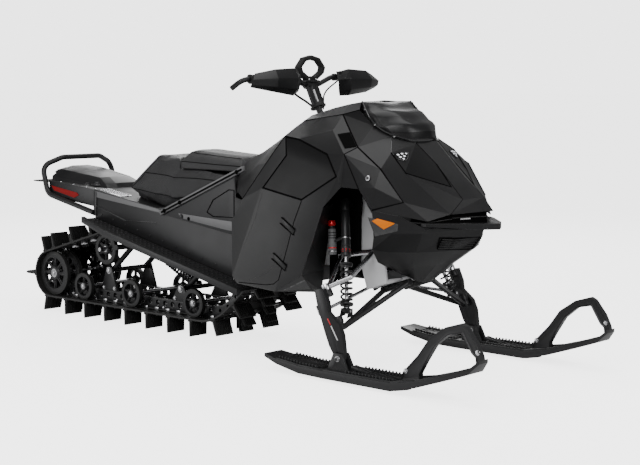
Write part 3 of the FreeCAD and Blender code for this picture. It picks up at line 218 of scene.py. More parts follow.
def group(name, inputs, outputs):
    """An empty node group with named sockets and their starting values."""
    tree = bpy.data.node_groups.new(name, "ShaderNodeTree")
    for label, kind, value in inputs:
        socket = tree.interface.new_socket(label, in_out="INPUT", socket_type=kind)
        if value is not None:
            socket.default_value = value
    for label, kind in outputs:
        tree.interface.new_socket(label, in_out="OUTPUT", socket_type=kind)
    entry = tree.nodes.new("NodeGroupInput")
    out = tree.nodes.new("NodeGroupOutput")
    entry.location = (-700, 0)
    out.location = (500, 0)
    return tree, entry, out


def put(tree, kind, place=(0, 0), **values):
    node = tree.nodes.new(kind)
    node.location = place
    for key, value in values.items():
        if hasattr(node, key):
            setattr(node, key, value)
        else:
            node.inputs[key.replace("_", " ")].default_value = value
    return node


def wire(tree, start, end):
    tree.links.new(start, end)


def make_grain():
    """Moulded grain: fine bumps and a slow drift in gloss."""
    tree, entry, out = group(
        "moulded_grain",
        [("Scale", "NodeSocketFloat", 900.0), ("Strength", "NodeSocketFloat", 0.2),
         ("Roughness", "NodeSocketFloat", 0.4), ("Spread", "NodeSocketFloat", 0.12)],
        [("Normal", "NodeSocketVector"), ("Roughness", "NodeSocketFloat")])
    where = put(tree, "ShaderNodeTexCoord", (-900, 200))
    fine = put(tree, "ShaderNodeTexNoise", (-450, 200), Detail=3.0)
    bump = put(tree, "ShaderNodeBump", (150, 150), Distance=0.0004)
    slow = put(tree, "ShaderNodeTexNoise", (-450, -100), Scale=14.0, Detail=4.0)
    centred = put(tree, "ShaderNodeMath", (-200, -100), operation="SUBTRACT")
    centred.inputs[1].default_value = 0.5
    spread = put(tree, "ShaderNodeMath", (0, -100), operation="MULTIPLY_ADD")
    wire(tree, where.outputs["Object"], fine.inputs["Vector"])
    wire(tree, where.outputs["Object"], slow.inputs["Vector"])
    wire(tree, entry.outputs["Scale"], fine.inputs["Scale"])
    wire(tree, fine.outputs["Fac"], bump.inputs["Height"])
    wire(tree, entry.outputs["Strength"], bump.inputs["Strength"])
    wire(tree, slow.outputs["Fac"], centred.inputs[0])
    wire(tree, centred.outputs[0], spread.inputs[0])
    wire(tree, entry.outputs["Spread"], spread.inputs[1])
    wire(tree, entry.outputs["Roughness"], spread.inputs[2])
    wire(tree, bump.outputs["Normal"], out.inputs["Normal"])
    wire(tree, spread.outputs[0], out.inputs["Roughness"])
    return tree


def make_wear_and_highlight():
    """A mask of lighter edges broken up by noise: partly wear, partly painted highlight along the creases."""
    tree, entry, out = group(
        "edge_wear_and_highlight", [("Amount", "NodeSocketFloat", 0.5), ("Scale", "NodeSocketFloat", 60.0)],
        [("Mask", "NodeSocketFloat")])
    where = put(tree, "ShaderNodeTexCoord", (-900, -150))
    shape = put(tree, "ShaderNodeNewGeometry", (-900, 350))
    rounded = put(tree, "ShaderNodeBevel", (-900, 150), samples=4)
    rounded.inputs["Radius"].default_value = 0.0016
    same = put(tree, "ShaderNodeVectorMath", (-650, 250), operation="DOT_PRODUCT")
    ramp = put(tree, "ShaderNodeMapRange", (-400, 250))
    ramp.inputs["From Min"].default_value = 0.985
    ramp.inputs["From Max"].default_value = 0.8
    patch = put(tree, "ShaderNodeTexNoise", (-450, -100), Detail=5.0)
    cut = put(tree, "ShaderNodeMapRange", (-200, -100))
    cut.inputs["From Min"].default_value = 0.35
    cut.inputs["From Max"].default_value = 0.6
    both = put(tree, "ShaderNodeMath", (50, 100), operation="MULTIPLY")
    scaled = put(tree, "ShaderNodeMath", (250, 100), operation="MULTIPLY", use_clamp=True)
    wire(tree, shape.outputs["Normal"], same.inputs[0])
    wire(tree, rounded.outputs["Normal"], same.inputs[1])
    wire(tree, same.outputs["Value"], ramp.inputs["Value"])
    wire(tree, where.outputs["Object"], patch.inputs["Vector"])
    wire(tree, entry.outputs["Scale"], patch.inputs["Scale"])
    wire(tree, patch.outputs["Fac"], cut.inputs["Value"])
    wire(tree, ramp.outputs["Result"], both.inputs[0])
    wire(tree, cut.outputs["Result"], both.inputs[1])
    wire(tree, both.outputs[0], scaled.inputs[0])
    wire(tree, entry.outputs["Amount"], scaled.inputs[1])
    wire(tree, scaled.outputs[0], out.inputs["Mask"])
    return tree


def make_dust():
    """Tints upward faces with a thin film of dust, and drifts the colour a little."""
    tree, entry, out = group(
        "dust_film",
        [("Colour", "NodeSocketColor", (0.05, 0.05, 0.05, 1)),
         ("Dust", "NodeSocketColor", (0.3, 0.29, 0.28, 1)), ("Amount", "NodeSocketFloat", 0.05),
         ("Drift", "NodeSocketFloat", 0.12)],
        [("Colour", "NodeSocketColor")])
    where = put(tree, "ShaderNodeTexCoord", (-900, -150))
    shape = put(tree, "ShaderNodeNewGeometry", (-900, 250))
    split = put(tree, "ShaderNodeSeparateXYZ", (-700, 250))
    up = put(tree, "ShaderNodeMath", (-500, 250), operation="MAXIMUM")
    up.inputs[1].default_value = 0.0
    cloud = put(tree, "ShaderNodeTexNoise", (-500, -50), Scale=9.0, Detail=6.0)
    film = put(tree, "ShaderNodeMath", (-250, 200), operation="MULTIPLY")
    amount = put(tree, "ShaderNodeMath", (-50, 200), operation="MULTIPLY", use_clamp=True)
    swing = put(tree, "ShaderNodeMapRange", (-250, -50))
    swing.inputs["To Min"].default_value = -1.0
    swing.inputs["To Max"].default_value = 1.0
    level = put(tree, "ShaderNodeMath", (-50, -50), operation="MULTIPLY_ADD")
    level.inputs[2].default_value = 1.0
    shade = put(tree, "ShaderNodeVectorMath", (120, -50), operation="SCALE")
    mix = put(tree, "ShaderNodeMix", (300, 100), data_type="RGBA")
    wire(tree, shape.outputs["Normal"], split.inputs[0])
    wire(tree, split.outputs["Z"], up.inputs[0])
    wire(tree, where.outputs["Object"], cloud.inputs["Vector"])
    wire(tree, up.outputs[0], film.inputs[0])
    wire(tree, cloud.outputs["Fac"], film.inputs[1])
    wire(tree, film.outputs[0], amount.inputs[0])
    wire(tree, entry.outputs["Amount"], amount.inputs[1])
    wire(tree, cloud.outputs["Fac"], swing.inputs["Value"])
    wire(tree, swing.outputs["Result"], level.inputs[0])
    wire(tree, entry.outputs["Drift"], level.inputs[1])
    wire(tree, entry.outputs["Colour"], shade.inputs[0])
    wire(tree, level.outputs[0], shade.inputs["Scale"])
    wire(tree, shade.outputs[0], mix.inputs["A"])
    wire(tree, entry.outputs["Dust"], mix.inputs["B"])
    wire(tree, amount.outputs[0], mix.inputs["Factor"])
    wire(tree, mix.outputs["Result"], out.inputs["Colour"])
    return tree


def make_hide():
    """Leather-like cells: a normal and a mask of the valleys between them."""
    tree, entry, out = group(
        "hide_grain", [("Scale", "NodeSocketFloat", 420.0), ("Strength", "NodeSocketFloat", 0.5)],
        [("Normal", "NodeSocketVector"), ("Valley", "NodeSocketFloat")])
    where = put(tree, "ShaderNodeTexCoord", (-900, 0))
    cells = put(tree, "ShaderNodeTexVoronoi", (-450, 100), feature="DISTANCE_TO_EDGE")
    valley = put(tree, "ShaderNodeMapRange", (-200, 100))
    valley.inputs["From Max"].default_value = 0.12
    bump = put(tree, "ShaderNodeBump", (100, 100), Distance=0.0006)
    wire(tree, where.outputs["Object"], cells.inputs["Vector"])
    wire(tree, entry.outputs["Scale"], cells.inputs["Scale"])
    wire(tree, cells.outputs["Distance"], valley.inputs["Value"])
    wire(tree, valley.outputs["Result"], bump.inputs["Height"])
    wire(tree, entry.outputs["Strength"], bump.inputs["Strength"])
    wire(tree, bump.outputs["Normal"], out.inputs["Normal"])
    wire(tree, valley.outputs["Result"], out.inputs["Valley"])
    return tree


def make_weave():
    """Two crossed bands of yarn."""
    tree, entry, out = group(
        "crossed_yarn", [("Scale", "NodeSocketFloat", 260.0), ("Strength", "NodeSocketFloat", 0.6)],
        [("Normal", "NodeSocketVector"), ("Mask", "NodeSocketFloat")])
    where = put(tree, "ShaderNodeTexCoord", (-900, 0))
    warp = put(tree, "ShaderNodeTexWave", (-500, 200), wave_type="BANDS", bands_direction="DIAGONAL")
    weft = put(tree, "ShaderNodeTexWave", (-500, -100), wave_type="BANDS", bands_direction="Z")
    top = put(tree, "ShaderNodeMath", (-250, 50), operation="MAXIMUM")
    bump = put(tree, "ShaderNodeBump", (100, 100), Distance=0.0008)
    for band in (warp, weft):
        wire(tree, where.outputs["Object"], band.inputs["Vector"])
        wire(tree, entry.outputs["Scale"], band.inputs["Scale"])
    wire(tree, warp.outputs["Fac"], top.inputs[0])
    wire(tree, weft.outputs["Fac"], top.inputs[1])
    wire(tree, top.outputs[0], bump.inputs["Height"])
    wire(tree, entry.outputs["Strength"], bump.inputs["Strength"])
    wire(tree, bump.outputs["Normal"], out.inputs["Normal"])
    wire(tree, top.outputs[0], out.inputs["Mask"])
    return tree


GRAIN = make_grain()
WEAR_AND_HIGHLIGHT = make_wear_and_highlight()
DUST = make_dust()
HIDE = make_hide()
WEAVE = make_weave()


# ---------------------------------------------------------------- materials

def placed_group(tree, shared, place):
    node = tree.nodes.new("ShaderNodeGroup")
    node.node_tree = shared
    node.location = place
    return node


def surface(name, colour, rough, metal=0.0, grain=900.0, depth=0.15, spread=0.1, wear_and_highlight=0.3,
            worn_and_highlight=(0.2, 0.2, 0.2), dust=0.02, drift=0.12, coat=0.0, weave=None, hide=None,
            specular=0.3):
    """A satin, painted, cast or woven surface built from the shared groups."""
    material = bpy.data.materials.new(name)
    material.use_nodes = True
    tree = material.node_tree
    shader = tree.nodes["Principled BSDF"]
    shader.location = (500, 0)
    tree.nodes["Material Output"].location = (800, 0)
    film = placed_group(tree, DUST, (-300, 300))
    film.inputs["Colour"].default_value = (*colour, 1)
    film.inputs["Amount"].default_value = dust
    film.inputs["Drift"].default_value = drift
    # Edges and creases lightened towards a paler colour: partly wear, partly painted highlight.
    edges = placed_group(tree, WEAR_AND_HIGHLIGHT, (-300, 50))
    edges.inputs["Amount"].default_value = wear_and_highlight
    mix = put(tree, "ShaderNodeMix", (100, 200), data_type="RGBA")
    mix.inputs["B"].default_value = (*worn_and_highlight, 1)
    wire(tree, film.outputs["Colour"], mix.inputs["A"])
    wire(tree, edges.outputs["Mask"], mix.inputs["Factor"])
    wire(tree, mix.outputs["Result"], shader.inputs["Base Color"])
    texture = placed_group(tree, GRAIN, (-300, -200))
    texture.inputs["Scale"].default_value = grain
    texture.inputs["Strength"].default_value = depth
    texture.inputs["Roughness"].default_value = rough
    texture.inputs["Spread"].default_value = spread
    wire(tree, texture.outputs["Roughness"], shader.inputs["Roughness"])
    if weave:
        cloth = placed_group(tree, WEAVE, (0, -350))
        cloth.inputs["Scale"].default_value = weave
        wire(tree, cloth.outputs["Normal"], shader.inputs["Normal"])
    elif hide:
        leather = placed_group(tree, HIDE, (0, -350))
        leather.inputs["Scale"].default_value = hide
        wire(tree, leather.outputs["Normal"], shader.inputs["Normal"])
    else:
        wire(tree, texture.outputs["Normal"], shader.inputs["Normal"])
    shader.inputs["Metallic"].default_value = metal
    shader.inputs["Coat Weight"].default_value = coat
    shader.inputs["Coat Roughness"].default_value = 0.12
    shader.inputs["Specular IOR Level"].default_value = specular
    return material


def glassy(name, colour, rough, clear, strength=0.0, grain=700.0, depth=0.05):
    """A tinted or clear moulding that light passes through."""
    material = surface(name, colour, rough, grain=grain, depth=depth, spread=0.04, wear_and_highlight=0.0,
                       dust=0.02, coat=0.4)
    shader = material.node_tree.nodes["Principled BSDF"]
    shader.inputs["Transmission Weight"].default_value = clear
    shader.inputs["IOR"].default_value = 1.46
    if strength:
        shader.inputs["Emission Color"].default_value = (1, 1, 1, 1)
        shader.inputs["Emission Strength"].default_value = strength
    return material


# The strong edge lightening on the body is painted highlight along the creases, with some wear.
BODY = surface("satin_black_body", (0.0075, 0.0075, 0.008), 0.38, grain=1400, depth=0.08,
               worn_and_highlight=(0.11, 0.11, 0.11), wear_and_highlight=0.5, dust=0.012, specular=0.24)
DARK = surface("deep_black_inset", (0.003, 0.003, 0.0033), 0.4, grain=1400, depth=0.06,
               worn_and_highlight=(0.05, 0.05, 0.05), wear_and_highlight=0.25, dust=0.008, specular=0.16)
LINE = surface("black_gap", (0.0015, 0.0015, 0.0015), 0.8, depth=0.05, wear_and_highlight=0.0, dust=0.0,
               specular=0.04)
GREY = surface("grey_moulding", (0.028, 0.028, 0.029), 0.46, grain=1000, depth=0.16,
               worn_and_highlight=(0.15, 0.15, 0.15), wear_and_highlight=0.4, dust=0.05)
LIGHT = surface("grey_sheet_coat", (0.115, 0.115, 0.118), 0.45, grain=800, depth=0.08,
                worn_and_highlight=(0.3, 0.3, 0.3), wear_and_highlight=0.3, dust=0.05)
GLOSS = surface("gloss_black_moulding", (0.012, 0.012, 0.013), 0.2, grain=500, depth=0.04,
                worn_and_highlight=(0.08, 0.08, 0.08), wear_and_highlight=0.25, coat=0.5, dust=0.02)
SKI = surface("ski_moulding", (0.013, 0.013, 0.014), 0.38, grain=700, depth=0.1,
              worn_and_highlight=(0.09, 0.09, 0.09), wear_and_highlight=0.4, dust=0.03)
METAL = surface("black_powder_coat", (0.014, 0.014, 0.015), 0.36, metal=0.2, grain=1100,
                depth=0.14, worn_and_highlight=(0.22, 0.22, 0.22), wear_and_highlight=0.35, dust=0.03)
SHEET = surface("dark_sheet_coat", (0.014, 0.014, 0.015), 0.4, metal=0.2, grain=900,
                depth=0.1, worn_and_highlight=(0.2, 0.2, 0.2), wear_and_highlight=0.4, dust=0.05)
ALLOY = surface("cast_alloy", (0.62, 0.62, 0.63), 0.42, metal=0.45, grain=420, depth=0.3,
                worn_and_highlight=(0.75, 0.75, 0.76), wear_and_highlight=0.4, dust=0.03)
BRIGHT = surface("bright_alloy", (0.62, 0.62, 0.64), 0.24, metal=1.0, grain=600, depth=0.08,
                 worn_and_highlight=(0.8, 0.8, 0.8), wear_and_highlight=0.3, dust=0.02)
STEEL = surface("machined_steel", (0.42, 0.42, 0.43), 0.28, metal=1.0, grain=500, depth=0.06,
                worn_and_highlight=(0.6, 0.6, 0.6), wear_and_highlight=0.3, dust=0.02)
RUBBER = surface("track_rubber", (0.009, 0.009, 0.009), 0.55, grain=650, depth=0.3,
                 worn_and_highlight=(0.035, 0.035, 0.035), wear_and_highlight=0.5, dust=0.05, specular=0.35)
GRIP = surface("grip_rubber", (0.012, 0.012, 0.012), 0.62, grain=420, depth=0.6,
               worn_and_highlight=(0.04, 0.04, 0.04), wear_and_highlight=0.3, specular=0.3)
VINYL = surface("seat_vinyl", (0.013, 0.013, 0.014), 0.52, hide=620, wear_and_highlight=0.15,
                worn_and_highlight=(0.07, 0.07, 0.07), dust=0.05, specular=0.4)
SLICK = surface("seat_top_vinyl", (0.02, 0.02, 0.021), 0.55, hide=430, wear_and_highlight=0.15,
                worn_and_highlight=(0.1, 0.1, 0.1), dust=0.06, specular=0.4)
STRAP = surface("woven_webbing", (0.014, 0.014, 0.014), 0.8, weave=220, wear_and_highlight=0.2,
                worn_and_highlight=(0.05, 0.05, 0.05), specular=0.2)
AMBER = surface("amber_prism", (0.62, 0.15, 0.0005), 0.42, grain=260, depth=0.5, wear_and_highlight=0.0,
                dust=0.0, coat=0.0, specular=0.12)
RED = surface("red_prism", (0.2, 0.0012, 0.0015), 0.4, grain=260, depth=0.5, wear_and_highlight=0.0,
              dust=0.0, coat=0.0, specular=0.12)
SCARLET = surface("red_anodised", (0.55, 0.01, 0.015), 0.26, metal=0.4, grain=700, depth=0.05,
                  wear_and_highlight=0.2, worn_and_highlight=(0.7, 0.3, 0.3), coat=0.3)
PALE = surface("pale_paint", (0.62, 0.62, 0.63), 0.35, grain=900, depth=0.05, wear_and_highlight=0.1,
               worn_and_highlight=(0.8, 0.8, 0.8))
ORANGE = surface("orange_line", (0.6, 0.13, 0.02), 0.4, grain=900, depth=0.05, wear_and_highlight=0.0)
TINT = surface("smoked_screen", (0.007, 0.007, 0.0075), 0.3, grain=500, depth=0.02, spread=0.04,
               wear_and_highlight=0.0, dust=0.006, specular=0.3)
LENS = glassy("clear_lens", (0.8, 0.83, 0.86), 0.06, 0.9)
MIRROR = surface("lamp_mirror", (0.8, 0.81, 0.83), 0.1, metal=1.0, grain=300, depth=0.1,
                 wear_and_highlight=0.0, dust=0.0)
GLOW = glassy("lit_diode", (0.9, 0.92, 0.95), 0.2, 0.2, strength=0.7)

LOOKS = {
    "track": RUBBER, "rail_left": ALLOY, "rail_right": ALLOY, "drive_axle": STEEL,
    "track_wheels": METAL, "suspension_arms": METAL, "rail_brackets": METAL,
    "rear_shocks": STEEL, "tunnel": SHEET, "tunnel_tail": SHEET, "running_boards": SHEET,
    "braces": SHEET, "bulkhead": ALLOY, "engine": METAL, "side_panel_left": BODY,
    "side_panel_right": BODY, "footwells": BODY, "tank_cover": BODY, "console": GREY,
    "hood": BODY, "shrouds": BODY, "windshield": TINT, "belly_pan": BODY,
    "front_bumper": GREY, "headlights": LENS, "front_reflectors": AMBER, "seat_base": VINYL,
    "seat_cushion": SLICK, "rear_bumper": METAL, "snow_flap": RUBBER, "tail_housing": BODY,
    "tail_lamps": GLOSS, "rear_reflectors": RED, "lower_arms": METAL, "upper_arms": BRIGHT,
    "front_shocks": STEEL, "spindle_left": METAL, "spindle_right": METAL,
    "tie_rod_left": BRIGHT, "tie_rod_right": BRIGHT, "ski_left": SKI, "ski_right": SKI,
    "ski_loop_left": SKI, "ski_loop_right": SKI, "steering_column": METAL,
    "handlebar": METAL, "grips": GRIP, "controls": GLOSS, "hand_guards": BODY,
    "grab_strap": STRAP, "throttle_cable": GRIP, "brake_hose": GRIP,
}
for node, look in LOOKS.items():
    NODES[node].data.materials.clear()
    NODES[node].data.materials.append(look)


# ---------------------------------------------------------------- body panels

NET = {
    "deck_rear": (514, 205, 1001), "deck_b2": (640, 198, 1019), "seam_a": (720, 195, 1031),
    "shoulder": (738, 277, 968), "inset_top": (600, 325, 932), "top_rear": (519, 325, 942),
    "seam_b": (794, 233, 964), "seam_c": (861, 266, 904), "cheek_top": (846, 331, 878),
    "inset_front_top": (765, 337, 877), "crease": (538, 342, 863),
    "inset_front": (838, 362, 789), "inset_low": (662, 380, 685), "inset_rear": (432, 375, 723),
    "cheek_low": (928, 338, 744), "arch_rear": (848, 352, 748), "arch_mid": (768, 367, 665),
    "rear_high": (307, 362, 672), "rear_mid": (232, 352, 571), "rear_low": (263, 380, 342),
    "panel_mid": (627, 386, 600), "panel_low": (551, 386, 381), "tank_d3": (428, 343, 826),
    "bottom": (520, 386, 302), "corner_low": (297, 383, 314), "well_mid": (713, 372, 517),
    "well_low": (660, 377, 381), "screen_low": (1046, 0, 930), "screen_side": (1003, 74, 922),
    "screen_mid": (926, 133, 946), "screen_high": (858, 166, 988), "deck_front": (790, 174, 1050),
    "seam_d": (1000, 290, 824), "seam_e": (1101, 272, 698), "brow": (985, 208, 884),
    "lamp_low": (1055, 200, 806), "lamp_inner": (1185, 75, 752), "ridge": (1190, 0, 792),
    "ridge_side": (1100, 62, 838), "nose_ridge": (1290, 0, 715), "nose_side": (1238, 72, 706),
    "nose": (1334, 0, 664), "lip": (1220, 125, 649), "wing": (1175, 212, 624),
    "wing_mid": (1075, 276, 645), "wing_rear": (988, 328, 664), "shroud_fold": (995, 320, 752),
}


def facets(bm, names, side, reach=0.003):
    """The outer faces whose corners all lie on the named points."""
    spots = [P(NET[n][0], NET[n][1] * side, NET[n][2]) for n in names]
    return [f for f in bm.faces
            if all(min((v.co - spot).length for spot in spots) < reach for v in f.verts)]


def groove(bm, faces, width, depth, index=1):
    """Sinks a ring just inside a region's edge and brings the region back up."""
    if not faces:
        return
    ring = bmesh.ops.inset_region(bm, faces=faces, thickness=width / 2, depth=-depth,
                                  use_even_offset=True, use_boundary=True)
    for face in ring["faces"]:
        face.material_index = index
    inner = [f for f in faces if f.is_valid]
    ring = bmesh.ops.inset_region(bm, faces=inner, thickness=width / 2, depth=depth,
                                  use_even_offset=True, use_boundary=True)
    for face in ring["faces"]:
        face.material_index = index


def paint(faces, index):
    for face in faces:
        face.material_index = index


INSET = ("crease", "inset_front_top", "inset_front", "inset_low", "inset_rear")
INSET_TOP = ("top_rear", "inset_top", "inset_front_top", "crease")


def make_side_panel(side, name):
    bm = merged(f"side_panel_{name}")
    inset = facets(bm, INSET, side) + facets(bm, INSET_TOP, side)
    paint(inset, 2)
    groove(bm, inset, 0.008, 0.0025)
    soften(bm, 0.0011, 14)
    return piece_from(f"side_panel_{name}_skin", bm, "chassis", [BODY, LINE, DARK],
                      [f"side_panel_{name}"], 9)


def make_plain_panels():
    """Panels whose shape is right already, with softened creases."""
    for node, materials, slot in (
            ("tank_cover", [BODY, LINE], "black_plastic"), ("console", [GREY, LINE], "grey_plastic"),
            ("footwells", [BODY, LINE], "black_plastic"), ("shrouds", [BODY, LINE], "black_plastic"),
            ("belly_pan", [BODY, LINE], "black_plastic"), ("tail_housing", [BODY, LINE], "black_plastic"),
            ("front_bumper", [BODY, LINE], "grey_plastic")):
        bm = merged(node)
        soften(bm, 0.0012, 12)
        piece_from(f"{node}_skin", bm, "chassis", materials, [node], 9)
    for node, material, slot, offset in (
            ("bulkhead", ALLOY, "alloy", 0.002), ("tunnel", SHEET, "black_metal", 0.0012),
            ("tunnel_tail", SHEET, "black_metal", 0.0012), ("engine", METAL, "alloy", 0.006),
            ("running_boards", SHEET, "black_metal", 0.0008), ("snow_flap", RUBBER, "rubber", 0.002)):
        bm = merged(node)
        soften(bm, offset, 24)
        piece_from(f"{node}_skin", bm, "chassis", material, [node], 28)


LAMP_BAY = ("brow", "lamp_low", "lamp_inner", "ridge_side", "screen_side", "screen_mid")


def make_hood():
    bm = merged("hood")
    for side, _ in SIDES:
        paint(facets(bm, ("screen_high", "deck_front", "seam_a", "seam_b", "seam_c"), side), 2)
        paint(facets(bm, LAMP_BAY, side), 2)
    tip = P(*NET["nose"])
    soften(bm, 0.0014, 11)
    for v in bm.verts:
        if v.co.x > tip.x - 0.012:
            v.co.x = min(v.co.x, tip.x)
            v.co.z = min(max(v.co.z, tip.z - 0.012), tip.z + 0.012)
            v.co.y = min(max(v.co.y, -0.02), 0.02)
    return piece_from("hood_skin", bm, "chassis", [BODY, LINE, DARK], ["hood"], 9)


for side, name in SIDES:
    make_side_panel(side, name)
make_plain_panels()
make_hood()

# ---------------------------------------------------------------- track

LOOP_CIRCLES = ((-1232, 196, 120), (-150, 378, 302), (225, 443, 105), (-824, 352, 85))
ROWS = 49


def loop_runs():
    """The belt's outer line as straight runs and arcs, each with its length."""
    headings = []
    for (xa, za, ra), (xb, zb, rb) in zip(LOOP_CIRCLES, LOOP_CIRCLES[1:] + LOOP_CIRCLES[:1]):
        reach = math.hypot(xb - xa, zb - za)
        headings.append(math.atan2(zb - za, xb - xa) + math.asin((ra - rb) / reach))
    runs = []
    for number, (x, z, r) in enumerate(LOOP_CIRCLES):
        before = headings[number - 1]
        turn = (headings[number] - before) % math.tau
        if turn > 6.2:
            turn = 0.0
        runs.append(("arc", x, z, r, before, turn, r * turn))
        xb, zb, rb = LOOP_CIRCLES[(number + 1) % len(LOOP_CIRCLES)]
        heading = headings[number]
        start = (x + r * math.sin(heading), z - r * math.cos(heading))
        end = (xb + rb * math.sin(heading), zb - rb * math.cos(heading))
        length = math.hypot(end[0] - start[0], end[1] - start[1])
        runs.append(("line", start[0], start[1], 0, heading, 0, length))
    return runs


LOOP = loop_runs()
LOOP_LONG = sum(run[-1] for run in LOOP)


def loop_place(distance):
    """The point, heading and outward direction at a distance along the belt's outer line."""
    distance %= LOOP_LONG
    for kind, x, z, r, heading, _, length in LOOP:
        if distance <= length:
            if kind == "arc":
                heading += distance / r
                x += r * math.sin(heading)
                z -= r * math.cos(heading)
            else:
                x += distance * math.cos(heading)
                z += distance * math.sin(heading)
            break
        distance -= length
    ahead = Vector((math.cos(heading), 0, math.sin(heading)))
    out = Vector((math.sin(heading), 0, -math.cos(heading)))
    return P(x, 0, z), ahead, out


def loop_matrix(distance):
    """Local X along the belt, Y across, Z away from it."""
    point, ahead, out = loop_place(distance)
    turn = Matrix((ahead, out.cross(ahead), out)).transposed()
    return Matrix.Translation(point) @ turn.to_4x4()


def paddle(width, ribs):
    """One moulded paddle standing on Z = 0, thinner at its tip, with ribs on both faces."""
    bm = bmesh.new()
    block(bm, Vector((0, 0, 0.0365)), (0.013, width, 0.077))
    for v in bm.verts:
        if v.co.z > 0.05:
            v.co.x *= 0.62
    soften(bm, 0.0018, 30)
    block(bm, Vector((0, 0, 0.003)), (0.03, width, 0.007), bevel=0.002)
    for number in range(ribs):
        y = (number + 0.5) / ribs * width - width / 2
        for face in (1, -1):
            lean = Matrix.Rotation(face * -0.035, 3, "Y")
            block(bm, Vector((face * 0.0058, y, 0.037)), (0.005, 0.0048, 0.067), lean)
    mesh = bpy.data.meshes.new("paddle")
    bm.to_mesh(mesh)
    bm.free()
    return mesh


def stamp(bm, mesh, matrix, index=0):
    """Adds a prototype mesh at a place."""
    faces = set(bm.faces)
    verts = set(bm.verts)
    bm.from_mesh(mesh)
    bmesh.ops.transform(bm, matrix=matrix, verts=[v for v in bm.verts if v not in verts])
    for face in set(bm.faces) - faces:
        face.material_index = index


def make_track():
    bm = bmesh.new()
    cells = 8
    cuts = (-203, -196, -152, -106, -60, 0, 60, 106, 152, 196, 203)
    bmesh.ops.create_grid(bm, x_segments=ROWS * cells, y_segments=len(cuts) - 1, size=1.0)
    total = ROWS * cells
    spots = [loop_place(number / total * LOOP_LONG) for number in range(total + 1)]
    holes = []
    for face in bm.faces:
        middle = face.calc_center_median()
        cell = int((middle.x + 1) / 2 * total) % cells
        column = int((middle.y + 1) / 2 * (len(cuts) - 1))
        if column in (2, 7) and cell not in (0, 1, 2, cells - 1):
            holes.append(face)
    for v in bm.verts:
        step = round((v.co.x + 1) / 2 * total)
        column = round((v.co.y + 1) / 2 * (len(cuts) - 1))
        point, _, out = spots[step]
        edge = 0.0012 if column in (0, len(cuts) - 1) else 0.0
        v.co = point + Vector((0, cuts[column] / 1000, 0)) - out * (0.0002 + edge)
    bmesh.ops.delete(bm, geom=holes, context="FACES")
    bmesh.ops.remove_doubles(bm, verts=bm.verts, dist=0.0002)
    bmesh.ops.recalc_face_normals(bm, faces=bm.faces)
    bm.normal_update()
    probe = min(bm.faces, key=lambda f: f.calc_center_median().z)
    if probe.normal.z > 0:
        bmesh.ops.reverse_faces(bm, faces=bm.faces)
    bmesh.ops.solidify(bm, geom=bm.faces[:], thickness=0.0076)
    outer = paddle(0.104, 8)
    inner = paddle(0.074, 6)
    middle = paddle(0.066, 5)
    clip = bmesh.new()
    block(clip, Vector((0, 0.1165, -0.0145)), (0.026, 0.0022, 0.014), bevel=0.0008)
    block(clip, Vector((0, 0.1345, -0.0145)), (0.026, 0.0022, 0.014), bevel=0.0008)
    block(clip, Vector((0, 0.1265, -0.0002)), (0.03, 0.04, 0.0022), bevel=0.0006)
    clip_mesh = bpy.data.meshes.new("clip")
    clip.to_mesh(clip_mesh)
    clip.free()
    lug = bmesh.new()
    block(lug, Vector((0, 0.058, -0.0165)), (0.034, 0.013, 0.018), bevel=0.004)
    lug_mesh = bpy.data.meshes.new("lug")
    lug.to_mesh(lug_mesh)
    lug.free()
    rod_mesh = bmesh.new()
    drum(rod_mesh, Vector((0, -0.2, 0.0005)), Vector((0, 0.2, 0.0005)), 0.0042, 8)
    rod_data = bpy.data.meshes.new("cross_rod")
    rod_mesh.to_mesh(rod_data)
    rod_mesh.free()
    for row in range(ROWS):
        here = loop_matrix((row + 0.09) / ROWS * LOOP_LONG)
        shift = Matrix.Translation
        if row % 2 == 0:
            stamp(bm, outer, here @ shift((0, 0.151, 0)))
            stamp(bm, outer, here @ shift((0, -0.151, 0)))
            stamp(bm, middle, here)
        else:
            stamp(bm, inner, here @ shift((0, 0.07, 0)))
            stamp(bm, inner, here @ shift((0, -0.07, 0)))
        for side in (1, -1):
            flip = Matrix.Diagonal((1, side, 1, 1))
            stamp(bm, clip_mesh, here @ flip, 1)
            stamp(bm, lug_mesh, here @ flip)
        stamp(bm, rod_data, here)
    piece_from("track_belt", bm, "chassis", [RUBBER, STEEL], ["track"], 40)


# ---------------------------------------------------------------- wheels, rails and dampers

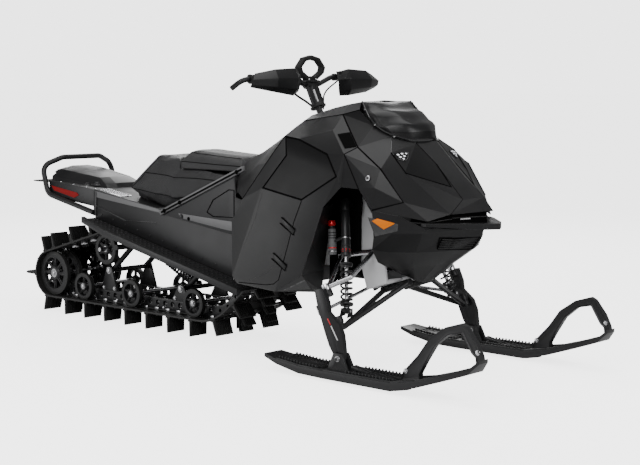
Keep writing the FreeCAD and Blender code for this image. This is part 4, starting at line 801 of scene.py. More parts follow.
def wheel(bm, x, y, z, radius, spokes=6):
    """Rubber tyre, moulded rim with a stepped web, spokes and a hub with its bolt."""
    centre = P(x, y, z)
    r = radius / 1000
    half = 0.0118
    across = Vector((0, 1, 0))
    lathe(bm, centre, across, [(-half, r * 0.86), (-half * 0.9, r * 0.985), (-half * 0.5, r * 0.998),
                               (half * 0.5, r * 0.998), (half * 0.9, r * 0.985), (half, r * 0.86)], 48, 1)
    lathe(bm, centre, across, [(-half * 1.0, r * 0.72), (-half * 1.0, r * 0.86), (half * 1.0, r * 0.86),
                               (half * 1.0, r * 0.72), (half * 0.3, r * 0.68), (-half * 0.3, r * 0.68)], 48)
    lathe(bm, centre, across, [(-half * 1.0, r * 0.2), (-half * 1.0, r * 0.3), (-half * 0.4, r * 0.36),
                               (half * 0.4, r * 0.36), (half * 1.0, r * 0.3), (half * 1.0, r * 0.2)], 32)
    for number in range(spokes):
        turn = Matrix.Rotation(math.tau * number / spokes, 3, "Y")
        block(bm, centre + turn @ Vector((0, 0, r * 0.52)), (r * 0.15, 0.009, r * 0.42), turn, 0.002)
        block(bm, centre + turn @ Vector((0, 0, r * 0.52)), (r * 0.05, 0.018, r * 0.4), turn, 0.001)
    lathe(bm, centre, across, [(-half * 0.9, 0.0101), (-half * 0.9, r * 0.22), (half * 0.9, r * 0.22),
                               (half * 0.9, 0.0101)], 32, 2)
    for face in (1, -1):
        hexagon_bolt(bm, centre + across * face * half * 0.9, across * face, 0.02, 0.006, index=2)


def make_wheels():
    bm = bmesh.new()
    for y in (-165, -90, 90, 165):
        wheel(bm, -1232, y, 196, 111.4, 8)
    drum(bm, P(-1232, -180, 196), P(-1232, 180, 196), 0.0099, 20, index=2)
    for y in (-165, 165):
        wheel(bm, -824, y, 352, 76.4, 6)
    drum(bm, P(-824, -212, 352), P(-824, 212, 352), 0.0099, 20, index=2)
    for x in (-1000, -640, -205):
        for y in (-165, 165):
            wheel(bm, x, y, 151.3, 66.8, 5)
        drum(bm, P(x, -178, 151.3), P(x, 178, 151.3), 0.0099, 20, index=2)
    piece_from("wheels_detailed", bm, "chassis", [METAL, RUBBER, STEEL],
               ["track_wheels"], 34)


def cut_by(bm, cutters, name):
    """A mesh with the cutters' shapes taken out of it."""
    body = bpy.data.meshes.new(name)
    bm.to_mesh(body)
    bm.free()
    tool = bpy.data.meshes.new(name + "_tool")
    cutters.to_mesh(tool)
    cutters.free()
    holder = bpy.data.objects.new(name, body)
    knife = bpy.data.objects.new(name + "_tool", tool)
    for one in (holder, knife):
        bpy.context.scene.collection.objects.link(one)
    change = holder.modifiers.new("cut", "BOOLEAN")
    change.operation = "DIFFERENCE"
    change.solver = "EXACT"
    change.object = knife
    bpy.context.view_layer.update()
    seen = bpy.context.evaluated_depsgraph_get()
    mesh = bpy.data.meshes.new_from_object(holder.evaluated_get(seen))
    bpy.data.objects.remove(holder)
    bpy.data.objects.remove(knife)
    return mesh


RAIL_TOP = ((-1262, 185.7), (-1190, 185.7), (-1150, 141), (-150, 141), (-60, 152), (20, 200))
RAIL_LOW = ((45, 178), (-20, 119), (-90, 94), (-160, 84.3), (-1228, 84.3))


def make_rails():
    for side, name in SIDES:
        bm = bmesh.new()
        y = side * 125 - 6
        plate(bm, [P(x, y, z) for x, z in RAIL_TOP + RAIL_LOW], Vector((0, 0.012, 0)))
        bmesh.ops.recalc_face_normals(bm, faces=bm.faces)
        soften(bm, 0.0012, 30)
        holes = bmesh.new()
        for x in range(-1120, -120, 52):
            if min(abs(x - other) for other in (-1000, -640, -205)) > 34:
                drum(holes, P(x, y - 10, 120), P(x, y + 22, 120), 0.0135, 24)
        for x, z, r in ((-1185, 150, 16), (-1228, 135, 12), (-70, 128, 9), (-20, 152, 9)):
            drum(holes, P(x, y - 10, z), P(x, y + 22, z), r / 1000, 24)
        mesh = cut_by(bm, holes, f"rail_{name}")
        bm = bmesh.new()
        bm.from_mesh(mesh)
        for x in range(-1160, -140, 170):
            hexagon_bolt(bm, P(x + 26, y + (12 if side > 0 else 0), 98), (0, side, 0), 0.011, 0.004, index=1)
        block(bm, P(-690, side * 125, 87.4), (0.93, 0.019, 0.005), bevel=0.001, index=2)
        piece_from(f"rail_{name}_bored", bm, "chassis", [METAL, STEEL, RUBBER],
                   [f"rail_{name}"], 34)


def coil(start, end, radius, wire, turns):
    """A compression spring between two points, its end turns closed."""
    turn = along(end - start)
    length = (end - start).length
    points = []
    steps = int(turns * 14)
    for step in range(steps + 1):
        share = step / steps
        closed = min(1.0, share * 9, (1 - share) * 9)
        height = length * (0.02 + 0.96 * share)
        angle = share * turns * math.tau
        spread = radius - wire * 0.4 * (1 - closed)
        points.append(start + turn @ Vector((spread * math.cos(angle), spread * math.sin(angle), height)))
    return line_curve(points, wire, True, sides=8)


def damper(bm, top, low, body, spring, start, stop, turns, wire=0.0042, index_body=0):
    """Damper body, chromed shaft and spring with its seats."""
    line = low - top
    middle = top + line * start
    drum(bm, top, top + line * 0.48, body, 28, 0.002, index=index_body)
    drum(bm, top + line * 0.46, top + line * 0.5, body * 1.08, 28, 0.001, index=index_body)
    drum(bm, top + line * 0.48, low, 0.0078, 20, index=1)
    drum(bm, middle - line.normalized() * 0.008, middle, spring, 32, 0.002, index=2)
    collar = top + line * stop
    drum(bm, collar, collar + line.normalized() * 0.01, spring, 32, 0.003, index=2)
    add_mesh(bm, coil(middle, collar, spring - wire, wire, turns), 3)
    drum(bm, low - line.normalized() * 0.045, low - line.normalized() * 0.012, 0.012, 24, 0.002, index=2)


def make_rear_dampers():
    bm = bmesh.new()

    def between(start, start_round, end, end_round):
        run = (end - start).normalized()
        return start + run * (start_round + 0.0143), end - run * (end_round + 0.0143)

    for top, low, body, spring, turns in (
            (*between(P(-700, 0, 372), 0.013, P(-335, 0, 200), 0.011), 0.0195, 0.0295, 9),
            (*between(P(-120, 0, 372), 0.013, P(15, 0, 208), 0.009), 0.0155, 0.0235, 6)):
        for eye in (top, low):
            drum(bm, eye - Vector((0, 0.017, 0)), eye + Vector((0, 0.017, 0)), 0.0139, 28, 0.001, index=2)
        damper(bm, top, low, body, spring, 0.4, 0.9, turns)
        band = top + (low - top) * 0.2
        run = (low - top).normalized()
        drum(bm, band, band + run * 0.005, body * 1.02, 28, index=4)
    piece_from("rear_dampers", bm, "chassis", [METAL, STEEL, METAL, METAL, SCARLET],
               ["rear_shocks"], 34)


def make_front_dampers():
    for side, name in SIDES:
        bm = bmesh.new()
        top, low = P(749, side * 210, 666), P(882, side * 350, 258)
        line = low - top
        run = line.normalized()
        drum(bm, P(749, side * 162.3, 666), P(749, side * 224, 666), 0.0128, 24, 0.001, index=2)
        drum(bm, top - run * 0.02, top + run * 0.03, 0.02, 28, 0.003, index=2)
        damper(bm, top, low, 0.0188, 0.0268, 0.58, 0.93, 6.5)
        for share, tall in ((0.32, 0.006), (0.4, 0.014)):
            ring = top + line * share
            drum(bm, ring, ring + run * tall, 0.0205, 28, 0.001, index=1 if tall < 0.01 else 2)
        for share in (0.43, 0.455):
            ring = top + line * share
            drum(bm, ring, ring + run * 0.007, 0.0196, 8, index=4)
        drum(bm, low - Vector((0.015, 0, 0)), low + Vector((0.015, 0, 0)), 0.0128, 24, 0.001, index=2)
        jar_low, jar_top = P(728, side * 262, 462), P(714, side * 252, 566)
        rise = (jar_top - jar_low).normalized()
        drum(bm, jar_low, jar_top, 0.0168, 30, 0.002, index=5)
        for share, index in ((0.1, 1), (0.24, 4), (0.62, 2), (0.72, 2), (0.82, 2)):
            ring = jar_low + (jar_top - jar_low) * share
            drum(bm, ring, ring + rise * 0.005, 0.0175, 30, 0.001, index=index)
        drum(bm, jar_top, jar_top + rise * 0.012, 0.0132, 24, 0.002, index=2)
        knob = jar_top + rise * 0.012
        lathe(bm, knob, rise, [(0, 0.0001), (0, 0.013), (0.004, 0.0168), (0.016, 0.0168),
                               (0.022, 0.0135), (0.024, 0.0001)], 12, 4)
        for x in (864, 900):
            plate(bm, [P(x, side * 338, 268), P(x, side * 362, 268), P(x, side * 372, 232),
                       P(x, side * 336, 238)],
                  Vector((-0.003 if x < 880 else 0.003, 0, 0)), bevel=0.0008, index=2)
        drum(bm, P(859, side * 350, 258), P(905, side * 350, 258), 0.006, 20, 0.001, index=1)
        add_mesh(bm, line_curve([jar_low + rise * 0.05, (jar_low + rise * 0.05 + top + line * 0.3) / 2,
                                 top + line * 0.3], 0.0068), 2)
        piece_from(f"front_damper_{name}", bm, "chassis",
                   [METAL, STEEL, METAL, METAL, SCARLET, LIGHT],
                   ["front_shocks"] if side > 0 else (), 34)


# ---------------------------------------------------------------- skis and spindles

SKI_STATIONS = ((562, 100, 52, 66), (640, 130, 34, 54), (770, 146, 14, 44), (900, 150, 12, 42),
                (1240, 150, 12, 44), (1353, 144, 40, 64), (1466, 128, 78, 98), (1576, 96, 118, 136),
                (1612, 56, 158, 172))


def ski_at(x):
    """Half width and top height of the ski at a station, in millimetres."""
    for (x0, w0, _, z0), (x1, w1, _, z1) in zip(SKI_STATIONS, SKI_STATIONS[1:]):
        if x0 <= x <= x1:
            share = (x - x0) / (x1 - x0)
            return (w0 + (w1 - w0) * share) / 2, z0 + (z1 - z0) * share
    return 0, 0


def beam(bm, start, end, wide, tall, index=0, bevel=0.001):
    """A square bar between two points, its top kept level."""
    run = end - start
    ahead = run.normalized()
    across = Vector((0, 0, 1)).cross(ahead).normalized()
    up = ahead.cross(across)
    turn = Matrix((ahead, across, up)).transposed()
    block(bm, (start + end) / 2, (run.length, wide, tall), turn, bevel, index=index)


def make_skis():
    for side, name in SIDES:
        bm = merged(f"ski_{name}")
        soften(bm, 0.0025, 22, 3)
        y = side * 441
        stations = [x for x, _, _, _ in SKI_STATIONS[1:8]]
        for edge in (1, -1):
            for x0, x1 in zip(stations, stations[1:]):
                w0, z0 = ski_at(x0)
                w1, z1 = ski_at(x1)
                beam(bm, P(x0, y + edge * (w0 - 6), z0 + 2), P(x1, y + edge * (w1 - 6), z1 + 2), 0.009, 0.008)
        for low, high in ((650, 862), (1010, 1225)):
            for edge in (1, -1):
                x = low
                while x < high:
                    w, z = ski_at(x)
                    block(bm, P(x, y + edge * (w - 26), z + 2.5), (0.007, 0.022, 0.013), bevel=0.001)
                    block(bm, P(x, y + edge * (w - 15), z + 5.5), (0.006, 0.006, 0.017), bevel=0.001)
                    x += 17
            w0, z0 = ski_at(low)
            w1, z1 = ski_at(high)
            beam(bm, P(low, y, z0 + 1.5), P(high, y, z1 + 1.5), 0.066, 0.004)
            for number in range(11):
                x = low + 10 + number * (high - low - 20) / 10
                w, z = ski_at(x)
                block(bm, P(x, y, z + 4.5), (0.004, 0.056, 0.004), bevel=0.0008)
        beam(bm, P(998, y + 10, 62), P(1085, y + 10, 45), 0.012, 0.012)
        beam(bm, P(998, y - 10, 62), P(1085, y - 10, 45), 0.012, 0.012)
        for edge in (1, -1):
            hexagon_bolt(bm, P(933, y + edge * 23.2, 87), (0, edge, 0), 0.017, 0.007, index=1)
        piece_from(f"ski_{name}_board", bm, f"ski_{name}_body", [SKI, STEEL],
                   [f"ski_{name}"], 34)
        bm = merged(f"ski_loop_{name}")
        faces = [f for f in bm.faces if abs(f.normal.y) > 0.9]
        for face in faces:
            bmesh.ops.inset_region(bm, faces=[face], thickness=0.006, depth=-0.005,
                                   use_even_offset=True, use_boundary=True)
        soften(bm, 0.0016, 24)
        for x, z in ((1262, 84), (1592, 196)):
            for edge in (1, -1):
                hexagon_bolt(bm, P(x, y + edge * 8.5, z), (0, edge, 0), 0.014, 0.006, index=1)
        piece_from(f"ski_loop_{name}_moulded", bm, f"ski_{name}_body", [SKI, BRIGHT],
                   [f"ski_loop_{name}"], 34)
        bm = merged(f"spindle_{name}")
        soften(bm, 0.0018, 26)
        beam(bm, P(872, y + side * 12.6, 238), P(888, y + side * 12.6, 214), 0.0012, 0.005, 1, 0.0003)
        beam(bm, P(890, y + side * 12.6, 211), P(925, y + side * 12.6, 158), 0.0012, 0.005, 2, 0.0003)
        piece_from(f"spindle_{name}_forged", bm, f"spindle_{name}_body", [METAL, SCARLET, PALE],
                   [f"spindle_{name}"], 34)


# ---------------------------------------------------------------- lamps and trim

class Facet:
    """A flat frame on three net points: along the first edge, across, and out of the body."""

    def __init__(self, corners, side=1):
        a, b, c = (Vector((x, y, z)) for x, y, z in corners)
        self.origin = a
        self.along = (b - a).normalized()
        self.across = (c - a - self.along * self.along.dot(c - a)).normalized()
        self.out = self.along.cross(self.across)
        if self.out.dot(a - Vector((600, 0, 560))) < 0:
            self.out = -self.out
        self.side = side

    def at(self, u, v, lift=0.0):
        point = self.origin + self.along * u + self.across * v + self.out * lift
        return P(point.x, point.y * self.side, point.z)

    def turned(self, vector):
        return Vector((vector.x, vector.y * self.side, vector.z))


def facet_plate(bm, facet, outline, lift, thick, index=0, bevel=0.0):
    corners = [facet.at(u, v, lift) for u, v in outline]
    plate(bm, corners, facet.turned(facet.out) * (thick / 1000), bevel=bevel, index=index)


def bordered(bm, facet, outline, lift, size, index, closed=True):
    """A thin raised line along an outline on a facet."""
    points = [facet.at(u, v, lift) for u, v in outline]
    add_mesh(bm, line_curve(points, size / 1000, smooth=False, closed=closed, sides=8), index)


LAMP = (NET["brow"], NET["lamp_low"], NET["screen_side"])
LENS_EDGE = ((8, 5), (10, 44), (26, 74), (48, 53), (55, 34), (34, 6))


def make_lamps():
    for side, name in SIDES:
        facet = Facet(LAMP, side)
        bm = bmesh.new()
        facet_plate(bm, facet, LENS_EDGE, 0.9, 0.5, 1)
        for u, v, wide, tall in ((20, 22, 9, 15), (33, 25, 9, 15), (45, 33, 8, 13), (22, 42, 9, 15),
                                 (35, 45, 9, 13), (27, 60, 8, 11)):
            cell = [(u - wide / 2, v - tall / 2), (u + wide / 2, v - tall / 2 + 2),
                    (u + wide / 2, v + tall / 2), (u - wide / 2, v + tall / 2 - 2)]
            facet_plate(bm, facet, cell, 1.2, 2.2, 2, 0.0006)
            facet_plate(bm, facet, [(u + (a - u) * 0.55, v + (b - v) * 0.55) for a, b in cell], 3.2, 0.8, 3)
        bordered(bm, facet, LENS_EDGE, 1.6, 1.7, 0)
        piece_from(f"headlight_{name}", bm, "chassis", [GLOSS, DARK, MIRROR, GLOW, LENS],
                   ["headlights"] if side > 0 else (), 30)
        bm = bmesh.new()
        reflector = Facet((NET["belly_b4"], NET["belly_b3"], NET["wing_rear"]), side)
        facet_plate(bm, reflector, ((-3, 84), (108, 30), (98, 4), (8, 5)), 0.15, 0.5, 0, 0.0002)
        amber = ((10, 66), (33, 71), (96, 37), (90, 33), (47, 23))
        facet_plate(bm, reflector, amber, 0.7, 2.4, 1, 0.0006)
        bordered(bm, reflector, amber, 0.8, 0.9, 2)
        piece_from(f"side_reflector_{name}", bm, "chassis", [GREY, AMBER, LINE],
                   ["front_reflectors"] if side > 0 else (), 30)


NET.update({
    "belly_b0": (1285, 0, 566), "belly_b1": (1215, 95, 560), "belly_b2": (1150, 212, 574),
    "belly_b3": (1060, 290, 575), "belly_b4": (998, 328, 556), "belly_c0": (1222, 0, 497),
    "belly_c1": (1185, 98, 500), "belly_c2": (1100, 190, 495),
})


def make_grille():
    """Level slats across the pan's front, in a dark frame."""
    for side, name in SIDES:
        bm = bmesh.new()
        high_in, high_out = Vector(NET["belly_b0"]), Vector(NET["belly_b1"])
        low_in, low_out = Vector(NET["belly_c0"]), Vector(NET["belly_c1"])
        out = (high_out - high_in).cross(low_in - high_in).normalized()
        if out.x < 0:
            out = -out

        far_high, far_low = Vector(NET["belly_b2"]), Vector(NET["belly_c2"])
        far_out = (far_high - high_out).cross(low_out - high_out).normalized()
        if far_out.x < 0:
            far_out = -far_out

        def on(across, down, lift):
            if across <= 1.0:
                start, end, away = high_in.lerp(low_in, down), high_out.lerp(low_out, down), out
            else:
                start, end, away = high_out.lerp(low_out, down), far_high.lerp(far_low, down), far_out
                across -= 1.0
            point = start.lerp(end, across) + away * lift
            return P(point.x, point.y * side, point.z)

        frame_line = [on(0.04, 0.12, 1.0), on(1.0, 0.12, 1.0), on(1.42, 0.16, 1.0), on(1.36, 0.8, 1.0),
                      on(1.0, 0.86, 1.0), on(0.04, 0.9, 1.0)]
        add_mesh(bm, line_curve(frame_line, 0.0026, False, True), 1)
        for number in range(5):
            down = 0.22 + number * 0.14
            for near, far in ((0.06, 1.0), (1.001, 1.34)):
                beam(bm, on(near, down, 2.2), on(far, down, 2.2), 0.007, 0.005, 0, 0.001)
                beam(bm, on(near, down + 0.065, 0.4), on(far, down + 0.065, 0.4), 0.003, 0.005, 1)
        piece_from(f"grille_{name}", bm, "chassis", [BODY, LINE], (), 30)


make_track()
make_wheels()
make_rails()
make_rear_dampers()
make_front_dampers()
make_skis()
make_lamps()
make_grille()

# ---------------------------------------------------------------- nose, arches and screen

def make_nose_duct():
    """Dark stepped wall behind the gap between hood and pan, with two fine ribs."""
    for side, name in SIDES:
        bm = bmesh.new()
        for x0, y0, z0, x1, y1, z1, tall in ((1302, -2, 628, 1212, 112, 622, 0.07),
                                             (1212, 112, 618, 1150, 205, 604, 0.05),
                                             (1150, 205, 604, 1050, 275, 606, 0.036)):
            beam(bm, P(x0, side * y0, z0), P(x1, side * y1, z1), 0.006, tall, 1)
            for rise in (-14, 12):
                beam(bm, P(x0 + 5, side * y0, z0 + rise), P(x1 + 5, side * y1, z1 + rise), 0.006, 0.004, 0)
        beam(bm, P(1262, side * 52, 633), P(1236, side * 84, 631), 0.004, 0.008, 2, 0.0015)
        piece_from(f"nose_duct_{name}", bm, "chassis", [BODY, LINE, PALE], (), 30)


def make_bay_box():
    """The intake box over the engine, seen only through the wheel arches."""
    bm = bmesh.new()
    block(bm, P(860, 0, 820), (0.26, 0.29, 0.15), bevel=0.02, segments=3)
    block(bm, P(860, 0, 900), (0.16, 0.2, 0.03), bevel=0.01)
    for y in (-90, -30, 30, 90):
        block(bm, P(860, y, 820), (0.268, 0.012, 0.156), bevel=0.004)
    for side in (1, -1):
        block(bm, P(760, side * 178, 700), (0.1, 0.004, 0.16), bevel=0.001)
        plate(bm, [P(640, side * 180, 320), P(800, side * 168, 420), P(800, side * 168, 745),
                   P(640, side * 180, 745)], Vector((0, side * 0.002, 0)))
    piece_from("intake_box", bm, "chassis", LINE, (), 30)


SCREEN_ROWS = (
    ((787, 154, 1082.6), (792, 80, 1083.6), (797, 0, 1078.6)),
    ((826, 172, 1037), (880, 100, 1049), (905, 0, 1045)),
    ((872, 167, 983), (965, 92, 1001), (985, 0, 1001)),
    ((928, 133, 947.1), (1004, 74, 924.1), (1047, 0, 931.6)),
)


def make_screen():
    """The smoked screen as one curved shell, with a black band and a beaded rim."""
    bm = bmesh.new()
    bmesh.ops.create_grid(bm, x_segments=4, y_segments=3, size=1.0)
    for v in bm.verts:
        column = round((v.co.x + 1) * 2)
        x, y, z = SCREEN_ROWS[round((v.co.y + 1) * 1.5)][min(column, 4 - column)]
        v.co = P(x, y if column < 3 else -y, z)
    bmesh.ops.subdivide_edges(bm, edges=bm.edges, cuts=3, smooth=1.0, smooth_falloff="SMOOTH",
                              use_grid_fill=True)
    for _ in range(2):
        inside = [v for v in bm.verts if not v.is_boundary]
        bmesh.ops.smooth_vert(bm, verts=inside, factor=0.5, use_axis_x=True, use_axis_y=True,
                              use_axis_z=True)
    for face in bm.faces:
        if face.calc_center_median().z < 0.958 or any(v.is_boundary for v in face.verts):
            face.material_index = 1
    piece = piece_from("screen", bm, "chassis", [TINT, DARK], ["windshield"], 75)
    wall = piece.modifiers.new("wall", "SOLIDIFY")
    wall.thickness = 0.003
    wall.offset = 0.0
    rows = ((787, 154, 1082.6), (826, 172, 1037), (872, 167, 983), (928, 133, 947.1), (1004, 74, 924.1),
            (1047, 0, 931.6))
    low = [P(x + 2, y + 1.5, z + 2) for x, y, z in rows]
    line = low + [Vector((p.x, -p.y, p.z)) for p in low[-2::-1]]
    bm = bmesh.new()
    add_mesh(bm, line_curve(line, 0.0034), 0)
    for side in (1, -1):
        for x, y, z in ((812, 166, 1052), (866, 168, 990), (935, 128, 944)):
            drum(bm, P(x, side * (y - 2), z), P(x + 3, side * (y + 4), z + 3), 0.006, 20, 0.001)
    piece_from("screen_rim", bm, "chassis", [GLOSS], (), 40)


def surface_line(bm, names, side, size, index, lift=1.2, middle=(700, 0, 560)):
    """A fine line over the net's points, a little proud of the skin."""
    points = []
    for name in names:
        x, y, z = NET[name]
        away = (Vector((x, y, z)) - Vector(middle)).normalized() * lift
        points.append(P(x + away.x, (y + away.y) * side, z + away.z))
    add_mesh(bm, line_curve(points, size / 1000, smooth=False), index)


def make_hood_trim():
    """Lines round the lamp bay, the crease lines over the nose and the shroud's fastener."""
    for side, name in SIDES:
        bm = bmesh.new()
        surface_line(bm, ("brow", "lamp_low", "lamp_inner", "ridge_side"), side, 2.4, 1, 0.3)
        surface_line(bm, ("screen_side", "screen_mid", "brow"), side, 2.6, 0, 0.5)
        surface_line(bm, ("screen_side", "ridge_side", "nose_side", "lip"), side, 1.1, 1, 0.4)
        surface_line(bm, ("seam_a", "seam_b", "seam_c", "seam_d", "seam_e", "wing_rear"), side, 3.2, 1, 0.0)
        surface_line(bm, ("deck_front", "seam_a"), side, 1.8, 1, 0.0)
        spot = Vector((963, side * 323, 788))
        out = Vector((0.18, side, 0.25)).normalized()
        lathe(bm, P(*spot), out,
              [(0, 0.0001), (0, 0.0105), (0.003, 0.0105), (0.005, 0.008), (0.0052, 0.0001)], 28, 2)
        drum(bm, P(*spot) + out * 0.004, P(*spot) + out * 0.0066, 0.0035, 6, index=1)
        piece_from(f"hood_trim_{name}", bm, "chassis", [GLOSS, LINE, BRIGHT, DARK], (), 30)


def hugged(tree, points, radius, sink=0.35):
    """A bead laid along the nearest places of a surface to a route's points."""
    places = []
    for start, end in zip(points, points[1:]):
        count = max(2, int((end - start).length / 0.012))
        for number in range(count):
            spot, normal, _, _ = tree.find_nearest(start.lerp(end, number / count))
            places.append(spot - normal * radius * sink)
    spot, normal, _, _ = tree.find_nearest(points[-1])
    places.append(spot - normal * radius * sink)
    return line_curve(places, radius, smooth=False)


def make_side_trim():
    """Tabs across the door seam, panel joint lines and the dark air slot."""
    for side, name in SIDES:
        bm = bmesh.new()
        skin = merged(f"side_panel_{name}")
        surface_line(bm, ("deck_rear", "deck_b2", "seam_a"), side, 2.0, 1, 0.0, (600, 0, 700))
        surface_line(bm, ("top_rear", "tank_d3", "rear_high"), side, 1.8, 1, 0.0)
        surface_line(bm, ("cheek_top", "cheek_low"), side, 2.0, 1, 0.0)
        surface_line(bm, ("seam_c", "cheek_top"), side, 2.0, 1, 0.0)
        for x, z in ((618, 578), (571, 428)):
            near, far = side * 387.6, side * 386.8
            beam(bm, P(x + 14, near, z - 10), P(x - 62, far, z + 34), 0.003, 0.005, 1, 0.0008)
            beam(bm, P(x + 8, near, z - 34), P(x - 70, far, z + 10), 0.003, 0.005, 1, 0.0008)
            beam(bm, P(x + 10, side * 387.8, z - 22), P(x - 56, side * 387.0, z + 20), 0.003, 0.018, 0,
                 0.001)
        tree = BVHTree.FromBMesh(skin)
        door = ((662, 685), (627, 600), (589, 490), (551, 381), (540, 352), (512, 333), (470, 325),
                (380, 322), (306, 320))
        add_mesh(bm, hugged(tree, [P(x, side * 386, z) for x, z in door], 0.0021), 1)
        for route in (((604, 560), (570, 470), (480, 380), (360, 330)), ((440, 715), (400, 600), (330, 470))):
            add_mesh(bm, hugged(tree, [P(x, side * 386, z) for x, z in route], 0.0007), 0)
        skin.free()
        slot = [P(*(NET[n][0], side * (NET[n][1] + 1.2), NET[n][2] + 0.8)) for n in
                ("shoulder", "seam_b", "seam_c", "cheek_top")]
        centre = sum(slot, Vector()) / 4
        slot = [centre + (p - centre) * share for p, share in zip(slot, (0.62, 0.9, 0.9, 0.55))]
        plate(bm, slot, Vector((0.0004, side * 0.0012, 0.0006)), index=1)
        piece_from(f"side_trim_{name}", bm, "chassis", [BODY, LINE], (), 30)


# ---------------------------------------------------------------- seat

def swollen(node, name, material, voxel, pressure, cap, shrink):
    """A stuffed cover: remeshed, blown up a little as cloth, and smoothed."""
    bm = merged(node)
    lo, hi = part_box(node)
    centre = (lo + hi) / 2
    for v in bm.verts:
        v.co = centre + (v.co - centre) * (1 - shrink)
        if v.co.z < lo.z + 0.004:
            v.co.z = max(v.co.z, lo.z + 0.0005)
    mesh = bpy.data.meshes.new(name)
    bm.to_mesh(mesh)
    bm.free()
    pad = bpy.data.objects.new(name, mesh)
    bpy.context.scene.collection.objects.link(pad)
    remesh = pad.modifiers.new("remesh", "REMESH")
    remesh.mode = "VOXEL"
    remesh.voxel_size = voxel
    bpy.context.view_layer.update()
    seen = bpy.context.evaluated_depsgraph_get()
    pad.data = bpy.data.meshes.new_from_object(pad.evaluated_get(seen))
    pad.modifiers.clear()
    rest = [v.co.copy() for v in pad.data.vertices]
    floor = lo.z + 0.012
    pins = pad.vertex_groups.new(name="pins")
    pins.add([v.index for v in pad.data.vertices if v.co.z < floor], 1.0, "REPLACE")
    cloth = pad.modifiers.new("cloth", "CLOTH")
    cloth.settings.quality = 4
    cloth.settings.mass = 0.4
    cloth.settings.tension_stiffness = 18
    cloth.settings.compression_stiffness = 18
    cloth.settings.bending_stiffness = 1.5
    cloth.settings.use_pressure = True
    cloth.settings.uniform_pressure_force = pressure
    cloth.settings.vertex_group_mass = "pins"
    cloth.settings.effector_weights.gravity = 0
    cloth.point_cache.frame_start = 1
    cloth.point_cache.frame_end = 16
    for step in range(1, 17):
        bpy.context.scene.frame_set(step)
    seen = bpy.context.evaluated_depsgraph_get()
    blown = bpy.data.meshes.new_from_object(pad.evaluated_get(seen))
    pad.modifiers.clear()
    for v, start, moved in zip(pad.data.vertices, rest, blown.vertices):
        step = moved.co - start
        if step.length > cap:
            step *= cap / step.length
        v.co = start + step
    bpy.context.scene.frame_set(1)
    pad.vertex_groups.clear()
    bm = bmesh.new()
    bm.from_mesh(pad.data)
    for _ in range(3):
        bmesh.ops.smooth_vert(bm, verts=bm.verts, factor=0.5, use_axis_x=True, use_axis_y=True,
                              use_axis_z=True)
    for v in bm.verts:
        for axis in range(3):
            v.co[axis] = min(max(v.co[axis], lo[axis] - (0.0 if axis == 2 else 0.006)), hi[axis] + 0.006)
    mesh = bpy.data.meshes.new(name)
    bm.to_mesh(mesh)
    bm.free()
    bpy.data.objects.remove(pad)
    piece = finished(name, mesh, "chassis", material, [node], 70)
    soft = piece.modifiers.new("smooth", "SUBSURF")
    soft.levels = 1
    soft.render_levels = 1
    return piece


def make_seat():
    base = swollen("seat_base", "seat_body", VINYL, 0.006, 3.0, 0.007, 0.008)
    top = swollen("seat_cushion", "seat_top_pad", SLICK, 0.005, 3.0, 0.006, 0.012)
    bpy.context.view_layer.update()
    seen = bpy.context.evaluated_depsgraph_get()
    base_tree = BVHTree.FromObject(base, seen)
    top_tree = BVHTree.FromObject(top, seen)
    for side, name in SIDES:
        bm = bmesh.new()
        for tree, route in (
                (base_tree, ((-540, 166, 737), (-430, 174, 734), (-314, 178, 729), (-43, 184, 725),
                             (52, 184, 727))),
                (base_tree, ((-628, 186, 660), (-322, 190, 628), (52, 182, 667))),
                (base_tree, ((-628, 186, 660), (-560, 172, 712), (-492, 112, 818))),
                (top_tree, ((-328, 137, 798), (-120, 137, 793), (64, 134, 789))),
                (top_tree, ((-300, 101, 843), (-120, 102, 836), (38, 101, 825)))):
            points = [P(x, side * y, z) for x, y, z in route]
            add_mesh(bm, hugged(tree, points, 0.0021), 0)
        piece_from(f"seat_piping_{name}", bm, "chassis", [LINE], (), 60)


# ---------------------------------------------------------------- tunnel, boards and tail

def make_tunnel_trim():
    for side, name in SIDES:
        bm = bmesh.new()
        y = side * 216.2
        out = Vector((0, side * 0.0012, 0))
        plate(bm, [P(x, y, z) for x, z in ((-846, 636), (-400, 577), (-352, 566), (-345, 556), (-845, 606))],
              out, index=0, bevel=0.0004)
        plate(bm, [P(x, side * 219.5, z) for x, z in ((-250, 566), (45, 553), (218, 548), (218, 506),
                                                       (62, 512), (-228, 545))],
              out, index=0, bevel=0.0004)
        for x0, z0, x1, z1 in ((-845, 566, -620, 505), (-620, 505, -400, 512)):
            beam(bm, P(x0, y, z0), P(x1, y, z1), 0.004, 0.006, 1, 0.001)
        for number in range(10):
            x = -800 + number * 88
            z = 300 - (x - 80) * 169 / 787 + 34
            drum(bm, P(x, side * 216, z), P(x, side * 218.4, z), 0.0046, 14, 0.001, index=1)
        for x, z in ((-228, 552),):
            hexagon_bolt(bm, P(x, side * 219.5, z), (0, side, 0), 0.018, 0.007, index=1)
        beam(bm, P(-843, side * 217.5, 634), P(-848, side * 217.5, 515), 0.004, 0.02, 1, 0.001)
        piece_from(f"tunnel_trim_{name}", bm, "chassis", [LIGHT, METAL, STEEL], (), 34)


